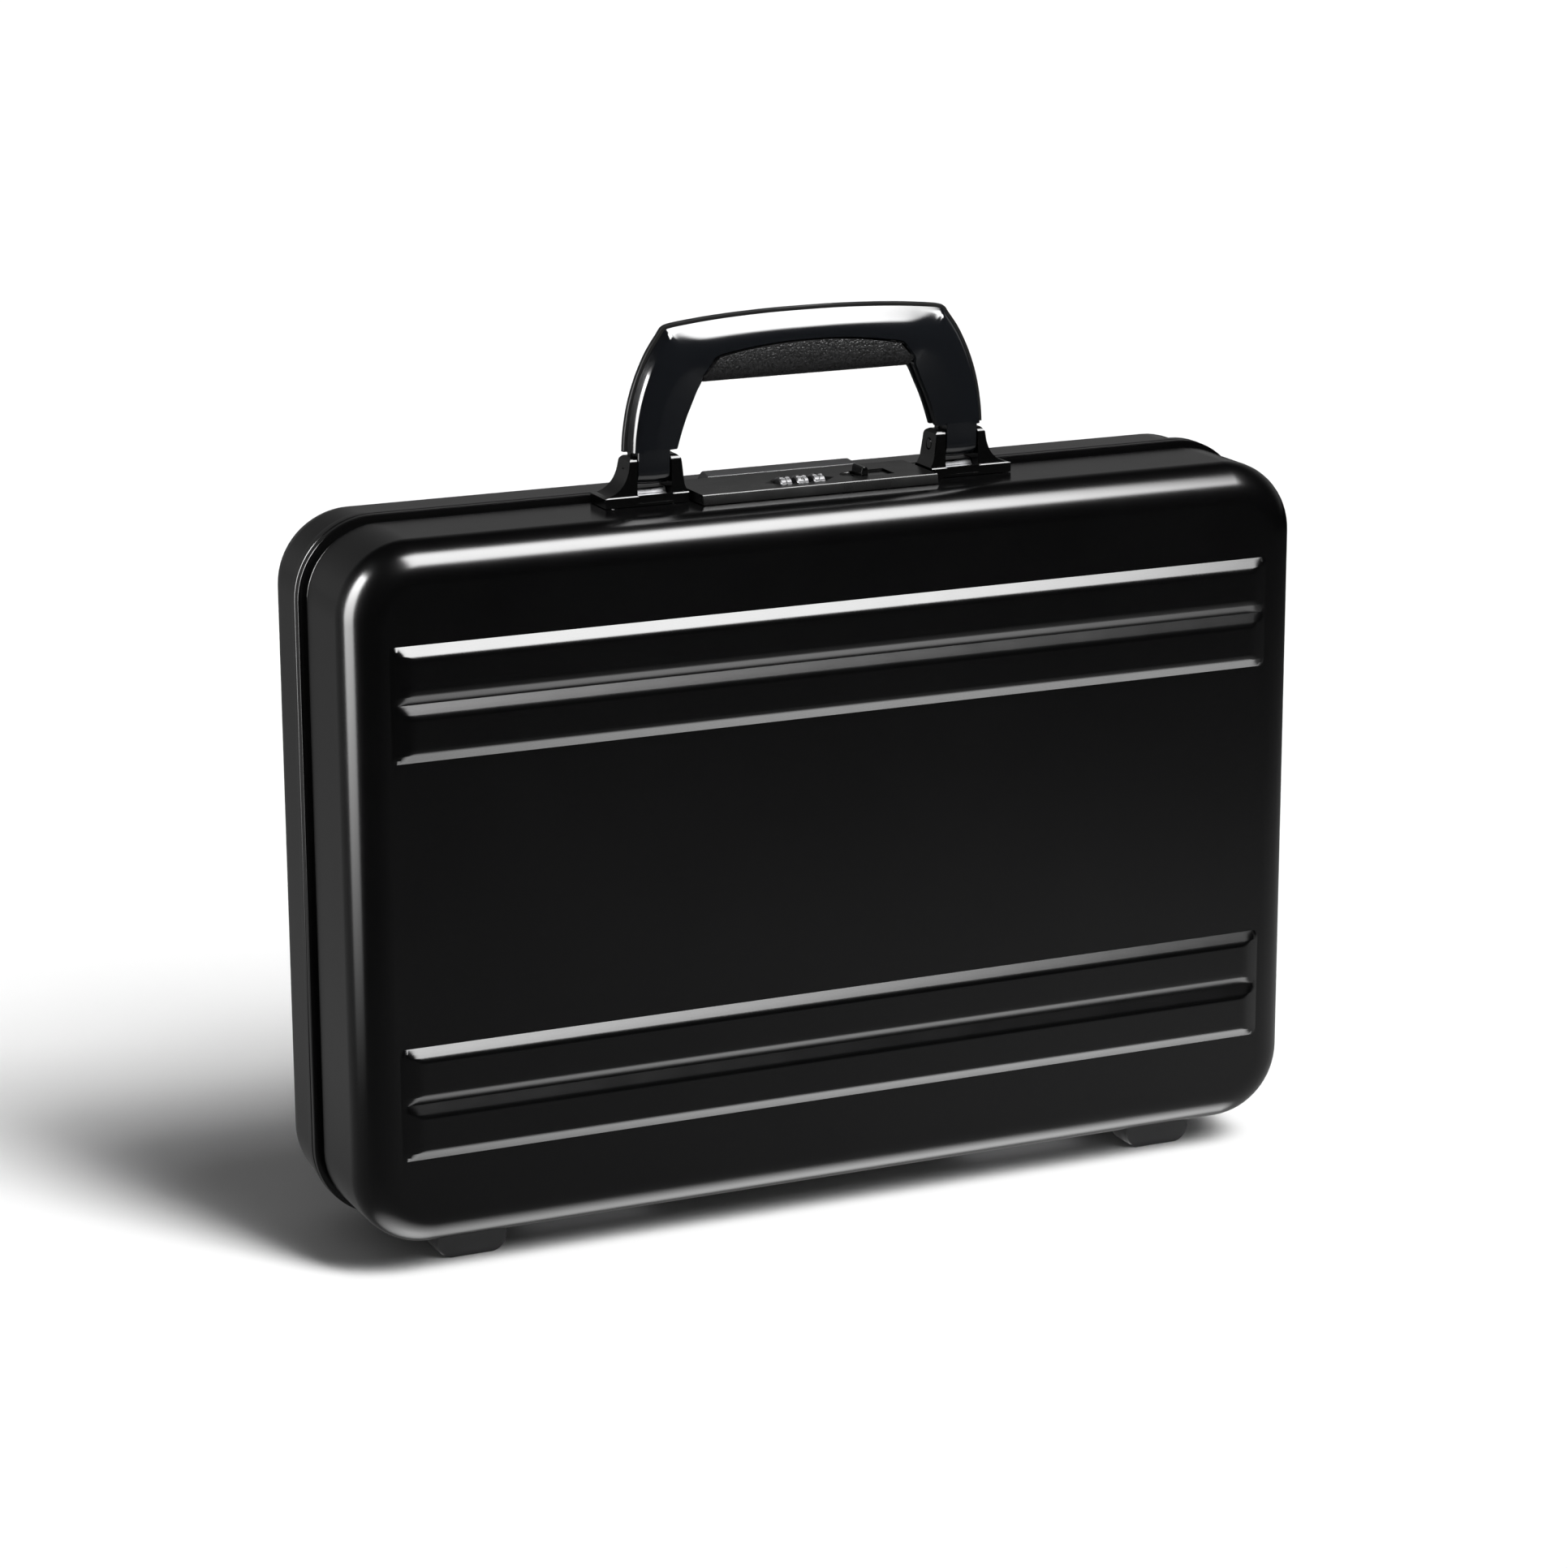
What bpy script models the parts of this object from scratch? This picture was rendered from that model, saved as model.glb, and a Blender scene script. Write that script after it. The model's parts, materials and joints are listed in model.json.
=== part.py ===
"""Aluminium attache case standing on its feet: two ribbed shells with a combination lock and a handle.

X runs along the case's width, Y from the front half to the lid, Z up from the surface it stands on.
Heights named ..._Z above the case's top are counted from TOP, the shells' upper surface.
"""
import math

import bmesh
import bpy
from mathutils import Matrix

# ---- Driving dimensions (metres) ----
CASE_W = 0.457            # shells, outside width
CASE_H = 0.312            # shells, outside height
CASE_D = 0.106            # over the two flat panels
CORNER_R = 0.033          # corners of the outline
EDGE_R = 0.017            # rounded edge between panel and side
CORNER_STEPS = 6
EDGE_STEPS = 4
WALL = 0.0016             # sheet thickness of the shells
GAP = 0.0003              # air left between touching pieces
FOOT_H = 0.0135

BOTTOM = FOOT_H           # underside of the shells
TOP = FOOT_H + CASE_H     # upper surface of the shells
MID_Z = FOOT_H + CASE_H / 2
PANEL_Y = CASE_D / 2

RIB_PITCH = 0.0253
RIB_W = 0.0252
RIB_H = 0.0036
RIB_HALF_LENGTH = 0.209
RIB_PAIR_OFFSET = 0.0883  # from the middle of the case to the crease of each pair

FRONT_RIM_Y = -0.0003     # where the front shell ends at the frame's groove
PARTING_Y = 0.0082        # plane where the case opens
REAR_RIM_Y = 0.0138
PROUD = 0.0025            # how far the frames stand out of the shells
WEB_OUT = -0.0020         # frame web, outer and inner side, measured inwards from the shells
WEB_IN = -0.0045

HINGE_X = 0.110
HINGE_HALF = 0.030
HINGE_Z = BOTTOM - 0.0054
KNUCKLE_R = 0.0025
HINGE_PIN_R = 0.0011
HINGE_BORE_R = 0.0012
LEAF_T = 0.0015

FOOT_X = 0.1715
FOOT_W = 0.033
FOOT_DEPTH = 0.016
FOOT_FRONT_Y = -0.031
FOOT_REAR_Y = 0.0165

PLATE_HALF = 0.0565       # lock plate
PLATE_FRONT_Y = -0.029
PLATE_Z = 0.0046
DIAL_X = (-0.0126, -0.0046, 0.0034)
DIAL_Y = -0.0150
DIAL_Z = 0.0011
DIAL_R = 0.0060
DIAL_W = 0.0056
DIAL_BORE_R = 0.0016
DIAL_SHAFT_R = 0.0015

LUG_X = (-0.030, 0.012)   # middles of the strike's two lugs

HANDLE_Y = -0.010         # middle of the handle and its pivot
PIVOT_Z = 0.0146
TONGUE_X = (0.0667, 0.0818)
TONGUE_R = 0.0065
CORE_T = 0.0042
COVER_T = 0.0051
LEG_END_Z = 0.0233
HANDLE_PIN_R = 0.0015
BRACKET_SCREW_Y = -0.0150
HANDLE_BORE_R = 0.0016

LID_PIECES = ("rear_shell", "rear_frame", "keeper_bar", "strike_plate", "hinge_rear_leaf_left",
              "hinge_rear_leaf_right", "rear_foot_left", "rear_foot_right", "rear_lining",
              "organiser_panel")

PARTS = bpy.data.collections.new("aluminum_attache_case")
CUTTERS = bpy.data.collections.new("cutters")


# ---- Helpers ----
def start_scene():
    for old in list(bpy.data.objects):
        bpy.data.objects.remove(old, do_unlink=True)
    bpy.context.scene.collection.children.link(PARTS)
    bpy.context.scene.collection.children.link(CUTTERS)


def make_material(name, color, roughness, metallic):
    material = bpy.data.materials.new(name)
    material.use_nodes = True
    shader = material.node_tree.nodes["Principled BSDF"]
    shader.inputs["Base Color"].default_value = (*color, 1.0)
    shader.inputs["Roughness"].default_value = roughness
    shader.inputs["Metallic"].default_value = metallic
    material.diffuse_color = (*color, 1.0)
    return material


def as_object(name, bm, material=None):
    """Turn a bmesh into a part, or into a hidden cutter where it has no material."""
    bmesh.ops.recalc_face_normals(bm, faces=bm.faces)
    mesh = bpy.data.meshes.new(name)
    bm.to_mesh(mesh)
    bm.free()
    obj = bpy.data.objects.new(name, mesh)
    if material is None:
        obj.hide_render = True
        obj.display_type = "WIRE"
        CUTTERS.objects.link(obj)
    else:
        mesh.materials.append(material)
        mesh.shade_smooth()
        mesh.set_sharp_from_angle(angle=math.radians(35))
        PARTS.objects.link(obj)
    return obj


def box(name, low, high, material=None):
    bm = bmesh.new()
    bmesh.ops.create_cube(bm, size=1.0)
    for vert in bm.verts:
        vert.co = [a + (b - a) * (c + 0.5) for a, b, c in zip(low, high, vert.co)]
    return as_object(name, bm, material)


def rod_mesh(bm, x_low, x_high, y, z, radius, sides):
    """Add a cylinder along X."""
    place = Matrix.Translation(((x_low + x_high) / 2, y, z)) @ Matrix.Rotation(math.pi / 2, 4, "Y")
    bmesh.ops.create_cone(bm, cap_ends=True, segments=sides, radius1=radius, radius2=radius,
                          depth=x_high - x_low, matrix=place)


def rod(name, x_low, x_high, y, z, radius, material=None, sides=16):
    bm = bmesh.new()
    rod_mesh(bm, x_low, x_high, y, z, radius, sides)
    return as_object(name, bm, material)


def upright_rod(name, x, y, z_low, z_high, radius, material=None, sides=10):
    bm = bmesh.new()
    bmesh.ops.create_cone(bm, cap_ends=True, segments=sides, radius1=radius, radius2=radius,
                          depth=z_high - z_low, matrix=Matrix.Translation((x, y, (z_low + z_high) / 2)))
    return as_object(name, bm, material)


def curve_outline(name, points):
    curve = bpy.data.curves.new(name, "CURVE")
    curve.dimensions = "2D"
    spline = curve.splines.new("POLY")
    spline.points.add(len(points) - 1)
    for point, (u, v) in zip(spline.points, points):
        point.co = (u, v, 0.0, 1.0)
    spline.use_cyclic_u = True
    obj = bpy.data.objects.new(name, curve)
    bpy.context.scene.collection.objects.link(obj)
    return obj


def curve_to_part(curve_obj, name, material, matrix):
    """Convert a curve object to a welded mesh part placed by matrix, and remove the curve."""
    bpy.context.view_layer.update()
    depsgraph = bpy.context.evaluated_depsgraph_get()
    mesh = bpy.data.meshes.new_from_object(curve_obj.evaluated_get(depsgraph))
    bm = bmesh.new()
    bm.from_mesh(mesh)
    bmesh.ops.remove_doubles(bm, verts=bm.verts, dist=0.000001)
    bmesh.ops.transform(bm, matrix=matrix, verts=bm.verts)
    bpy.data.objects.remove(curve_obj, do_unlink=True)
    bpy.data.meshes.remove(mesh)
    return as_object(name, bm, material)


def slab(name, points, low, high, plane="XZ", material=None):
    """A flat outline with thickness: points in the XZ plane with low..high in Y, or in YZ along X."""
    outline = curve_outline(name + "_outline", points)
    outline.data.fill_mode = "BOTH"
    outline.data.extrude = (high - low) / 2
    middle = (low + high) / 2
    if plane == "XZ":
        matrix = Matrix.Translation((0, middle, 0)) @ Matrix.Rotation(math.pi / 2, 4, "X")
    else:
        matrix = Matrix(((0, 0, 1, middle), (1, 0, 0, 0), (0, 1, 0, 0), (0, 0, 0, 1)))
    return curve_to_part(outline, name, material, matrix)


def arc(center, radius, start, end, steps):
    """Points of an arc, angles in degrees."""
    angles = [math.radians(start + (end - start) * i / steps) for i in range(steps + 1)]
    return [(center[0] + radius * math.cos(a), center[1] + radius * math.sin(a)) for a in angles]


def bend(start, control, end, steps):
    """Points of a quadratic curve without its first one."""
    points = []
    for i in range(1, steps + 1):
        t = i / steps
        points.append(tuple((1 - t) ** 2 * a + 2 * t * (1 - t) * b + t * t * c
                            for a, b, c in zip(start, control, end)))
    return points


def rounded_rectangle(width, height, radius, steps):
    points = []
    for sign_x, sign_y, start in ((1, 1, 0), (-1, 1, 90), (-1, -1, 180), (1, -1, 270)):
        center = (sign_x * (width / 2 - radius), sign_y * (height / 2 - radius))
        points += arc(center, radius, start, start + 90, steps)
    return points


def inset(points, distance):
    """Move each point of a counterclockwise outline inwards."""
    moved = []
    count = len(points)
    for i, (x, z) in enumerate(points):
        before, after = points[i - 1], points[(i + 1) % count]
        along_x, along_z = after[0] - before[0], after[1] - before[1]
        length = math.hypot(along_x, along_z)
        moved.append((x - distance * along_z / length, z + distance * along_x / length))
    return moved


def mirrored(points):
    """Close an outline given for X above 0 with its mirror image, counterclockwise."""
    return points + [(-x, z) for x, z in reversed(points) if abs(x) > 1e-9]


def apply_boolean(obj, other, operation):
    modifier = obj.modifiers.new(operation.lower(), "BOOLEAN")
    modifier.operation = operation
    modifier.object = other
    return obj


def cut(obj, *cutters):
    for cutter in cutters:
        apply_boolean(obj, cutter, "DIFFERENCE")
    return obj


def join(obj, *others):
    for other in others:
        apply_boolean(obj, other, "UNION")
    return obj


# ---- Shells, frames and lining ----
def tray_block(name, side, inset_by, rim_y, panel_y, material=None):
    """A block with the case's outline whose outer perimeter edge is rounded; side -1 is the front."""
    low_y, high_y = sorted((side * panel_y, rim_y))
    bm = bmesh.new()
    bmesh.ops.create_cube(bm, size=1.0)
    for vert in bm.verts:
        vert.co = (vert.co.x * (CASE_W - 2 * inset_by), low_y + (high_y - low_y) * (vert.co.y + 0.5),
                   MID_Z + vert.co.z * (CASE_H - 2 * inset_by))
    corners = [e for e in bm.edges if abs(e.verts[0].co.y - e.verts[1].co.y) > 0.001]
    bmesh.ops.bevel(bm, geom=corners, offset=CORNER_R - inset_by, segments=CORNER_STEPS, profile=0.5,
                    affect="EDGES")
    perimeter = [e for e in bm.edges if all(abs(v.co.y - side * panel_y) < 1e-6 for v in e.verts)]
    bmesh.ops.bevel(bm, geom=perimeter, offset=EDGE_R - inset_by, segments=EDGE_STEPS, profile=0.5,
                    affect="EDGES")
    return as_object(name, bm, material)


def rib_pads(name, side, shrink):
    """The two pairs of raised beads on one panel, as overlapping cutters or fillers."""
    bm = bmesh.new()
    for pair in (-1, 1):
        for bead in (-1, 1):
            center_z = MID_Z + pair * RIB_PAIR_OFFSET + bead * RIB_PITCH / 2
            add_bead(bm, side, center_z, shrink)
    return as_object(name, bm)


def add_bead(bm, side, center_z, shrink):
    half_x = RIB_HALF_LENGTH - shrink
    half_z = RIB_W / 2 - shrink
    crest = PANEL_Y + RIB_H - shrink
    foot = PANEL_Y - 0.0045
    made = bmesh.ops.create_cube(bm, size=1.0)["verts"]
    for vert in made:
        depth = crest if vert.co.y * side > 0 else foot
        vert.co = (vert.co.x * 2 * half_x, side * depth, center_z + vert.co.z * 2 * half_z)
    edges = {e for v in made for e in v.link_edges}
    ends = [e for e in edges if abs(e.verts[0].co.y - e.verts[1].co.y) > 0.001]
    made = set(bmesh.ops.bevel(bm, geom=ends, offset=half_z * 0.9, segments=3, profile=0.5,
                               affect="EDGES")["verts"]) | {v for v in made if v.is_valid}
    rim = {e for v in made for e in v.link_edges
           if all(abs(w.co.y - side * crest) < 1e-6 for w in e.verts)}
    bmesh.ops.bevel(bm, geom=list(rim), offset=RIB_H * 0.85, segments=2, profile=0.5, affect="EDGES")


def make_shell(name, side, rim_y, material):
    shell = tray_block(name, side, 0.0, rim_y, PANEL_Y, material)
    hollow = tray_block(name + "_hollow", side, WALL, rim_y - side * 0.004, PANEL_Y - WALL)
    join(shell, rib_pads(name + "_ribs", side, 0.0))
    cut(shell, hollow, rib_pads(name + "_rib_hollows", side, WALL))
    return shell


def make_ring(name, section, material):
    """Sweep a section around the case's outline; each point is (distance out of the shells, Y)."""
    path = curve_outline(name + "_path", rounded_rectangle(CASE_W, CASE_H, CORNER_R, CORNER_STEPS))
    profile = curve_outline(name + "_section", [(-out, y) for out, y in section])
    path.data.bevel_mode = "OBJECT"
    path.data.bevel_object = profile
    matrix = Matrix.Translation((0, 0, MID_Z)) @ Matrix.Rotation(-math.pi / 2, 4, "X")
    ring = curve_to_part(path, name, material, matrix)
    bpy.data.objects.remove(profile, do_unlink=True)
    return ring


def make_frames(aluminium, rubber):
    front = make_ring("front_frame", [
        (WEB_IN, -0.0120), (WEB_IN, PARTING_Y - GAP), (PROUD - 0.0002, PARTING_Y - GAP),
        (PROUD - 0.0001, 0.0074), (0.0008, 0.0050), (0.0002, 0.0047), (WEB_OUT, 0.0047),
        (WEB_OUT, -0.0120)], aluminium)
    dial_room = box("dial_room_in_frame", (-0.0185, -0.0135, TOP - 0.0055), (0.0095, -0.0085, TOP))
    cut(front, dial_room)
    make_ring("rear_frame", [
        (WEB_IN, PARTING_Y + GAP), (WEB_IN, 0.0270), (WEB_OUT, 0.0270), (WEB_OUT, 0.0134),
        (0.0014, 0.0134), (PROUD, 0.0126), (PROUD, 0.0089), (0.0021, PARTING_Y + GAP)], aluminium)
    make_ring("frame_seal", [
        (-0.0068, -0.0010), (-0.0064, 0.0120), (-0.0052, 0.0120), (-0.0048, -0.0010)], rubber)


def make_lining(name, side, open_y, fabric):
    lining = tray_block(name, side, WALL + 0.0004, open_y, PANEL_Y - WALL - 0.0004, fabric)
    hollow = tray_block(name + "_hollow", side, WALL + 0.0014, open_y - side * 0.004,
                        PANEL_Y - WALL - 0.0014)
    return cut(lining, hollow)


def make_organiser(fabric):
    """Pocket panel of the lid, open at its upper edge."""
    half, low, high = 0.2240, BOTTOM + 0.0045, BOTTOM + 0.215
    points = arc((half - 0.010, high - 0.010), 0.010, 0, 90, 3)
    points += arc((-half + 0.010, high - 0.010), 0.010, 90, 180, 3)
    points += arc((-half + 0.030, low + 0.030), 0.030, 180, 270, 4)
    points += arc((half - 0.030, low + 0.030), 0.030, 270, 360, 4)
    slab("organiser_panel", points, 0.0380, 0.0400, "XZ", fabric)


# ---- Feet and hinges ----
def make_foot(name, x, y_low, rubber):
    half = FOOT_W / 2
    radius = 0.0075
    points = arc((x - half + radius, radius), radius, 180, 270, 4)
    points += arc((x + half - radius, radius), radius, 270, 360, 4)
    points += [(x + half - 0.0004, BOTTOM - GAP), (x - half + 0.0004, BOTTOM - GAP)]
    slab(name, points, y_low, y_low + FOOT_DEPTH, "XZ", rubber)


def make_hinge_leaf(name, x, side, knuckles, steel):
    """One leaf: a block under its shell, a plate towards the axis and its knuckles."""
    plate_low, plate_high = BOTTOM - 0.0030 - LEAF_T, BOTTOM - 0.0030
    def span(near, far):
        return sorted((PARTING_Y + side * near, PARTING_Y + side * far))
    near_y, far_y = span(0.0030, 0.0240)
    leaf = box(name, (x - HINGE_HALF, near_y, plate_low), (x + HINGE_HALF, far_y, plate_high), steel)
    block_near, block_far = span(0.0085, 0.0235)
    join(leaf, box(name + "_block", (x - HINGE_HALF + 0.001, block_near, plate_low + 0.0003),
                   (x + HINGE_HALF - 0.001, block_far, BOTTOM - GAP)))
    for number, (start, end) in enumerate(knuckles):
        tab_low, tab_high = span(0.0, 0.0040)
        tab = box(f"{name}_tab_{number}", (x + start, tab_low, plate_low + 0.0001),
                  (x + end, tab_high, plate_high - 0.0001))
        barrel = rod(f"{name}_barrel_{number}", x + start, x + end, PARTING_Y, HINGE_Z, KNUCKLE_R)
        join(leaf, tab, barrel)
    bore = rod(name + "_bore", x - HINGE_HALF - 0.002, x + HINGE_HALF + 0.002, PARTING_Y, HINGE_Z,
               HINGE_BORE_R)
    return cut(leaf, bore)


def make_hinges(steel):
    for label, x in (("left", -HINGE_X), ("right", HINGE_X)):
        make_hinge_leaf("hinge_front_leaf_" + label, x, -1, ((-0.030, -0.0105), (0.0105, 0.030)), steel)
        make_hinge_leaf("hinge_rear_leaf_" + label, x, 1, ((-0.0100, 0.0100),), steel)
        rod("hinge_pin_" + label, x - HINGE_HALF, x + HINGE_HALF, PARTING_Y, HINGE_Z, HINGE_PIN_R, steel)


# ---- Combination lock ----
def make_lock_plate(black):
    section = [(PLATE_FRONT_Y, 0.0003), (0.0042, 0.0003), (0.0042, 0.0029), (0.0078, 0.0029),
               (0.0078, 0.0041), (0.0073, PLATE_Z), (PLATE_FRONT_Y + 0.0006, PLATE_Z),
               (PLATE_FRONT_Y, 0.0040)]
    plate = slab("lock_plate", [(y, TOP + z) for y, z in section], -PLATE_HALF, PLATE_HALF, "YZ", black)
    window_half = DIAL_W / 2 + 0.0004
    reach = DIAL_R + 0.0004
    for number, x in enumerate(DIAL_X):
        cut(plate, box(f"dial_window_{number}", (x - window_half, DIAL_Y - reach, TOP - 0.001),
                       (x + window_half, DIAL_Y + reach, TOP + 0.006)))
    shaft_room = box("dial_shaft_room", (-0.0195, DIAL_Y - 0.0018, TOP - 0.001),
                     (0.0103, DIAL_Y + 0.0018, TOP + 0.0030))
    slider_bed = box("slider_bed", (0.0230, -0.0189, TOP + 0.0026), (0.0400, -0.0061, TOP + 0.006))
    slider_slit = box("slider_slit", (0.0390, -0.0189, TOP + 0.0026), (0.0495, -0.0061, TOP + 0.0040))
    stem_slot = box("stem_slot", (0.0238, -0.0172, TOP - 0.001), (0.0376, -0.0118, TOP + 0.003))
    return cut(plate, shaft_room, slider_bed, slider_slit, stem_slot)


def make_dials(steel, silver):
    rod("dial_shaft", -0.0190, 0.0098, DIAL_Y, TOP + DIAL_Z, DIAL_SHAFT_R, steel)
    for number, x in enumerate(DIAL_X):
        dial = rod(f"dial_{number + 1}", x - DIAL_W / 2, x + DIAL_W / 2, DIAL_Y, TOP + DIAL_Z, DIAL_R,
                   silver, sides=20)
        cut(dial, rod(f"dial_{number + 1}_bore", x - DIAL_W, x + DIAL_W, DIAL_Y, TOP + DIAL_Z,
                      DIAL_BORE_R))


def make_slider(black, steel):
    """Thumb slider on the plate, and the hook bar that it moves inside the housing."""
    slider = box("slide_button", (0.0236, -0.0185, TOP + 0.0029), (0.0396, -0.0065, TOP + 0.0037), black)
    tab = box("slide_tab", (0.0247, -0.0175, TOP + 0.0031), (0.0272, -0.0070, TOP + 0.0082))
    stem = box("slide_stem", (0.0245, -0.0164, TOP - 0.0077), (0.0275, -0.0126, TOP + 0.0033))
    join(slider, tab, stem)
    bar = box("latch_bar", (-0.0340, -0.0165, TOP - 0.0100), (0.0300, -0.0098, TOP - 0.0080), steel)
    join(bar, rod("latch_guide", 0.0290, 0.0400, -0.0131, TOP - 0.0090, 0.0008, sides=8))
    for number, x in enumerate(LUG_X):
        arm = box(f"latch_arm_{number}", (x + 0.0050, -0.0100, TOP - 0.0099),
                  (x + 0.0085, -0.0015, TOP - 0.0081))
        finger = box(f"latch_finger_{number}", (x + 0.0045, -0.0042, TOP - 0.0098),
                     (x + 0.0060, -0.0018, TOP - 0.0082))
        join(bar, arm, finger)


def make_lock_inside(steel):
    housing = box("lock_housing", (-0.0500, -0.0265, TOP - 0.0130), (0.0500, -0.0015, TOP - 0.0048), steel)
    room = box("lock_housing_room", (-0.0488, -0.0253, TOP - 0.0118), (0.0488, 0.0010, TOP))
    cut(housing, room)
    strike = box("strike_plate", (-0.0380, 0.0140, TOP - 0.0100), (0.0200, 0.0240, TOP - 0.0048), steel)
    for number, x in enumerate(LUG_X):
        lug = box(f"strike_lug_{number}", (x - 0.0040, -0.0080, TOP - 0.0099),
                  (x + 0.0040, 0.0150, TOP - 0.0081))
        join(strike, lug)
    for number, x in enumerate(LUG_X):
        notch = box(f"strike_notch_{number}", (x - 0.0010, -0.0048, TOP - 0.0105),
                    (x + 0.0045, -0.0012, TOP - 0.0075))
        cut(strike, notch)


def make_latch_spring(steel):
    """Return spring of the slider, a coil between the bar's end and the housing's wall."""
    turns, steps_per_turn, radius = 4, 9, 0.0017
    start_x, end_x = 0.0385, 0.0484
    count = turns * steps_per_turn
    curve = bpy.data.curves.new("latch_spring_path", "CURVE")
    curve.dimensions = "3D"
    curve.bevel_depth = 0.0003
    curve.bevel_resolution = 1
    curve.use_fill_caps = True
    spline = curve.splines.new("POLY")
    spline.points.add(count)
    for i, point in enumerate(spline.points):
        angle = 2 * math.pi * i / steps_per_turn
        x = start_x + (end_x - start_x) * i / count
        point.co = (x, -0.0131 + radius * math.cos(angle), TOP - 0.0090 + radius * math.sin(angle), 1.0)
    obj = bpy.data.objects.new("latch_spring_path", curve)
    bpy.context.scene.collection.objects.link(obj)
    curve_to_part(obj, "latch_spring", steel, Matrix.Identity(4))


def make_keeper(black):
    """Raised bar on the lid behind the lock plate, with slanted ends."""
    section = [(0.0088, 0.0029), (0.0139, 0.0029), (0.0139, 0.0003), (0.0180, 0.0003), (0.0176, 0.0050),
               (0.0164, 0.0058), (0.0094, 0.0048), (0.0088, 0.0043)]
    keeper = slab("keeper_bar", [(y, TOP + z) for y, z in section], -0.041, 0.037, "YZ", black)
    for label, x, lean in (("left", -0.041, 0.0040), ("right", 0.037, -0.0040)):
        wedge = [(x - lean, TOP - 0.001), (x, TOP + 0.0010), (x + lean, TOP + 0.0075),
                 (x - lean, TOP + 0.0075)]
        cut(keeper, slab("keeper_end_" + label, wedge, 0.005, 0.022))
    return keeper


# ---- Handle and brackets ----
def handle_outer():
    """Outer contour of the handle, right half, from the leg's end up to the middle."""
    points = [(0.0868, LEG_END_Z)]
    points += bend((0.0868, LEG_END_Z), (0.0848, 0.0530), (0.0685, 0.0752), 8)
    points += bend((0.0685, 0.0752), (0.0672, 0.0772), (0.0655, 0.0774), 2)
    points += bend((0.0655, 0.0774), (0.0330, 0.0811), (0.0, 0.0811), 6)
    return points


def handle_inner(room):
    """Inner contour, right half, from the middle down to the leg's end; room is left around the grip."""
    points = [(0.0, 0.0668 + room)]
    points += bend((0.0, 0.0668 + room), (0.0240, 0.0666 + room), (0.0436 + room, 0.0624 + room), 5)
    points += [(0.0509 + room, 0.0543), (0.0502 + room, 0.0505)]
    points += bend((0.0502 + room, 0.0505), (0.0598 + room, 0.0340), (0.0622 + room, LEG_END_Z), 6)
    return points


def handle_outline(rim, room):
    """Full outline with both tongues: rim is how far the outer contour is pulled in, room as above."""
    outer = handle_outer()
    if rim:
        middle = inset(outer, rim)[1:-1]
        outer = [(outer[0][0] - rim, LEG_END_Z)] + middle + [(0.0, outer[-1][1] - rim)]
    low, high = PIVOT_Z - TONGUE_R - 0.001, LEG_END_Z + 0.0002
    tongue = [(TONGUE_X[0], high), (TONGUE_X[0], low), (TONGUE_X[1], low), (TONGUE_X[1], high)]
    inner = handle_inner(room) + tongue
    left_outer = [(-x, z) for x, z in reversed(outer[:-1])]
    left_inner = [(-x, z) for x, z in reversed(inner[1:])]
    return [(x, TOP + z) for x, z in outer + left_outer + left_inner + inner]


def handle_side(name, half_depth):
    """Side profile the handle's pieces are trimmed to: slimmer between the ears, round at the pivot."""
    shoulder = LEG_END_Z - 0.0006
    points = arc((HANDLE_Y, TOP + PIVOT_Z), TONGUE_R, 180, 360, 10)
    points += [(HANDLE_Y + TONGUE_R, TOP + shoulder), (HANDLE_Y + half_depth, TOP + LEG_END_Z - 0.0001),
               (HANDLE_Y + half_depth, TOP + 0.090), (HANDLE_Y - half_depth, TOP + 0.090),
               (HANDLE_Y - half_depth, TOP + LEG_END_Z - 0.0001), (HANDLE_Y - TONGUE_R, TOP + shoulder)]
    return slab(name, points, -0.1, 0.1, "YZ")


def make_handle(gloss, satin, rubber):
    """A core plate between two covers, and the grip between the covers' arches."""
    half_core = CORE_T / 2
    half_depth = half_core + GAP + COVER_T
    for name, low, high, material, rim, room in (
            ("handle_core", -half_core, half_core, satin, 0.0, 0.0016),
            ("handle_front_cover", -half_depth, -half_core - GAP, gloss, 0.0016, 0.0004),
            ("handle_rear_cover", half_core + GAP, half_depth, gloss, 0.0016, 0.0004)):
        piece = slab(name, handle_outline(rim, room), HANDLE_Y + low, HANDLE_Y + high, "XZ", material)
        apply_boolean(piece, handle_side(name + "_side", half_depth + 0.001), "INTERSECT")
        if name == "handle_core":
            cut(piece, rod("handle_core_bore", -0.1, 0.1, HANDLE_Y, TOP + PIVOT_Z, HANDLE_BORE_R))
    grip = [(0.0488, 0.0510), (0.0505, 0.0543), (0.0434, 0.0622)]
    grip += bend((0.0434, 0.0622), (0.0240, 0.0664), (0.0, 0.0666), 5)
    grip_outline = [(x, TOP + z) for x, z in mirrored(grip)]
    rubber_bar = slab("handle_grip", grip_outline, HANDLE_Y - 0.0082, HANDLE_Y + 0.0082, "XZ", rubber)
    round_off = rubber_bar.modifiers.new("round_off", "BEVEL")
    round_off.width = 0.0045
    round_off.segments = 2
    round_off.limit_method = "ANGLE"
    round_off.angle_limit = math.radians(60)


def bracket_outline(side):
    """Front view of a bracket: base, inner ear, slot for the tongue and the flared outer ear."""
    points = [(0.0588, 0.0003), (0.0980, 0.0003), (0.0980, 0.0044)]
    points += bend((0.0980, 0.0044), (0.0888, 0.0085), (0.0858, 0.0195), 5)
    points += [(0.0846, 0.0212), (0.0823, 0.0212), (0.0823, 0.0015), (0.0662, 0.0015), (0.0662, 0.0212),
               (0.0632, 0.0212), (0.0616, 0.0198), (0.0588, 0.0048)]
    return [(side * x, TOP + z) for x, z in points]


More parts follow.
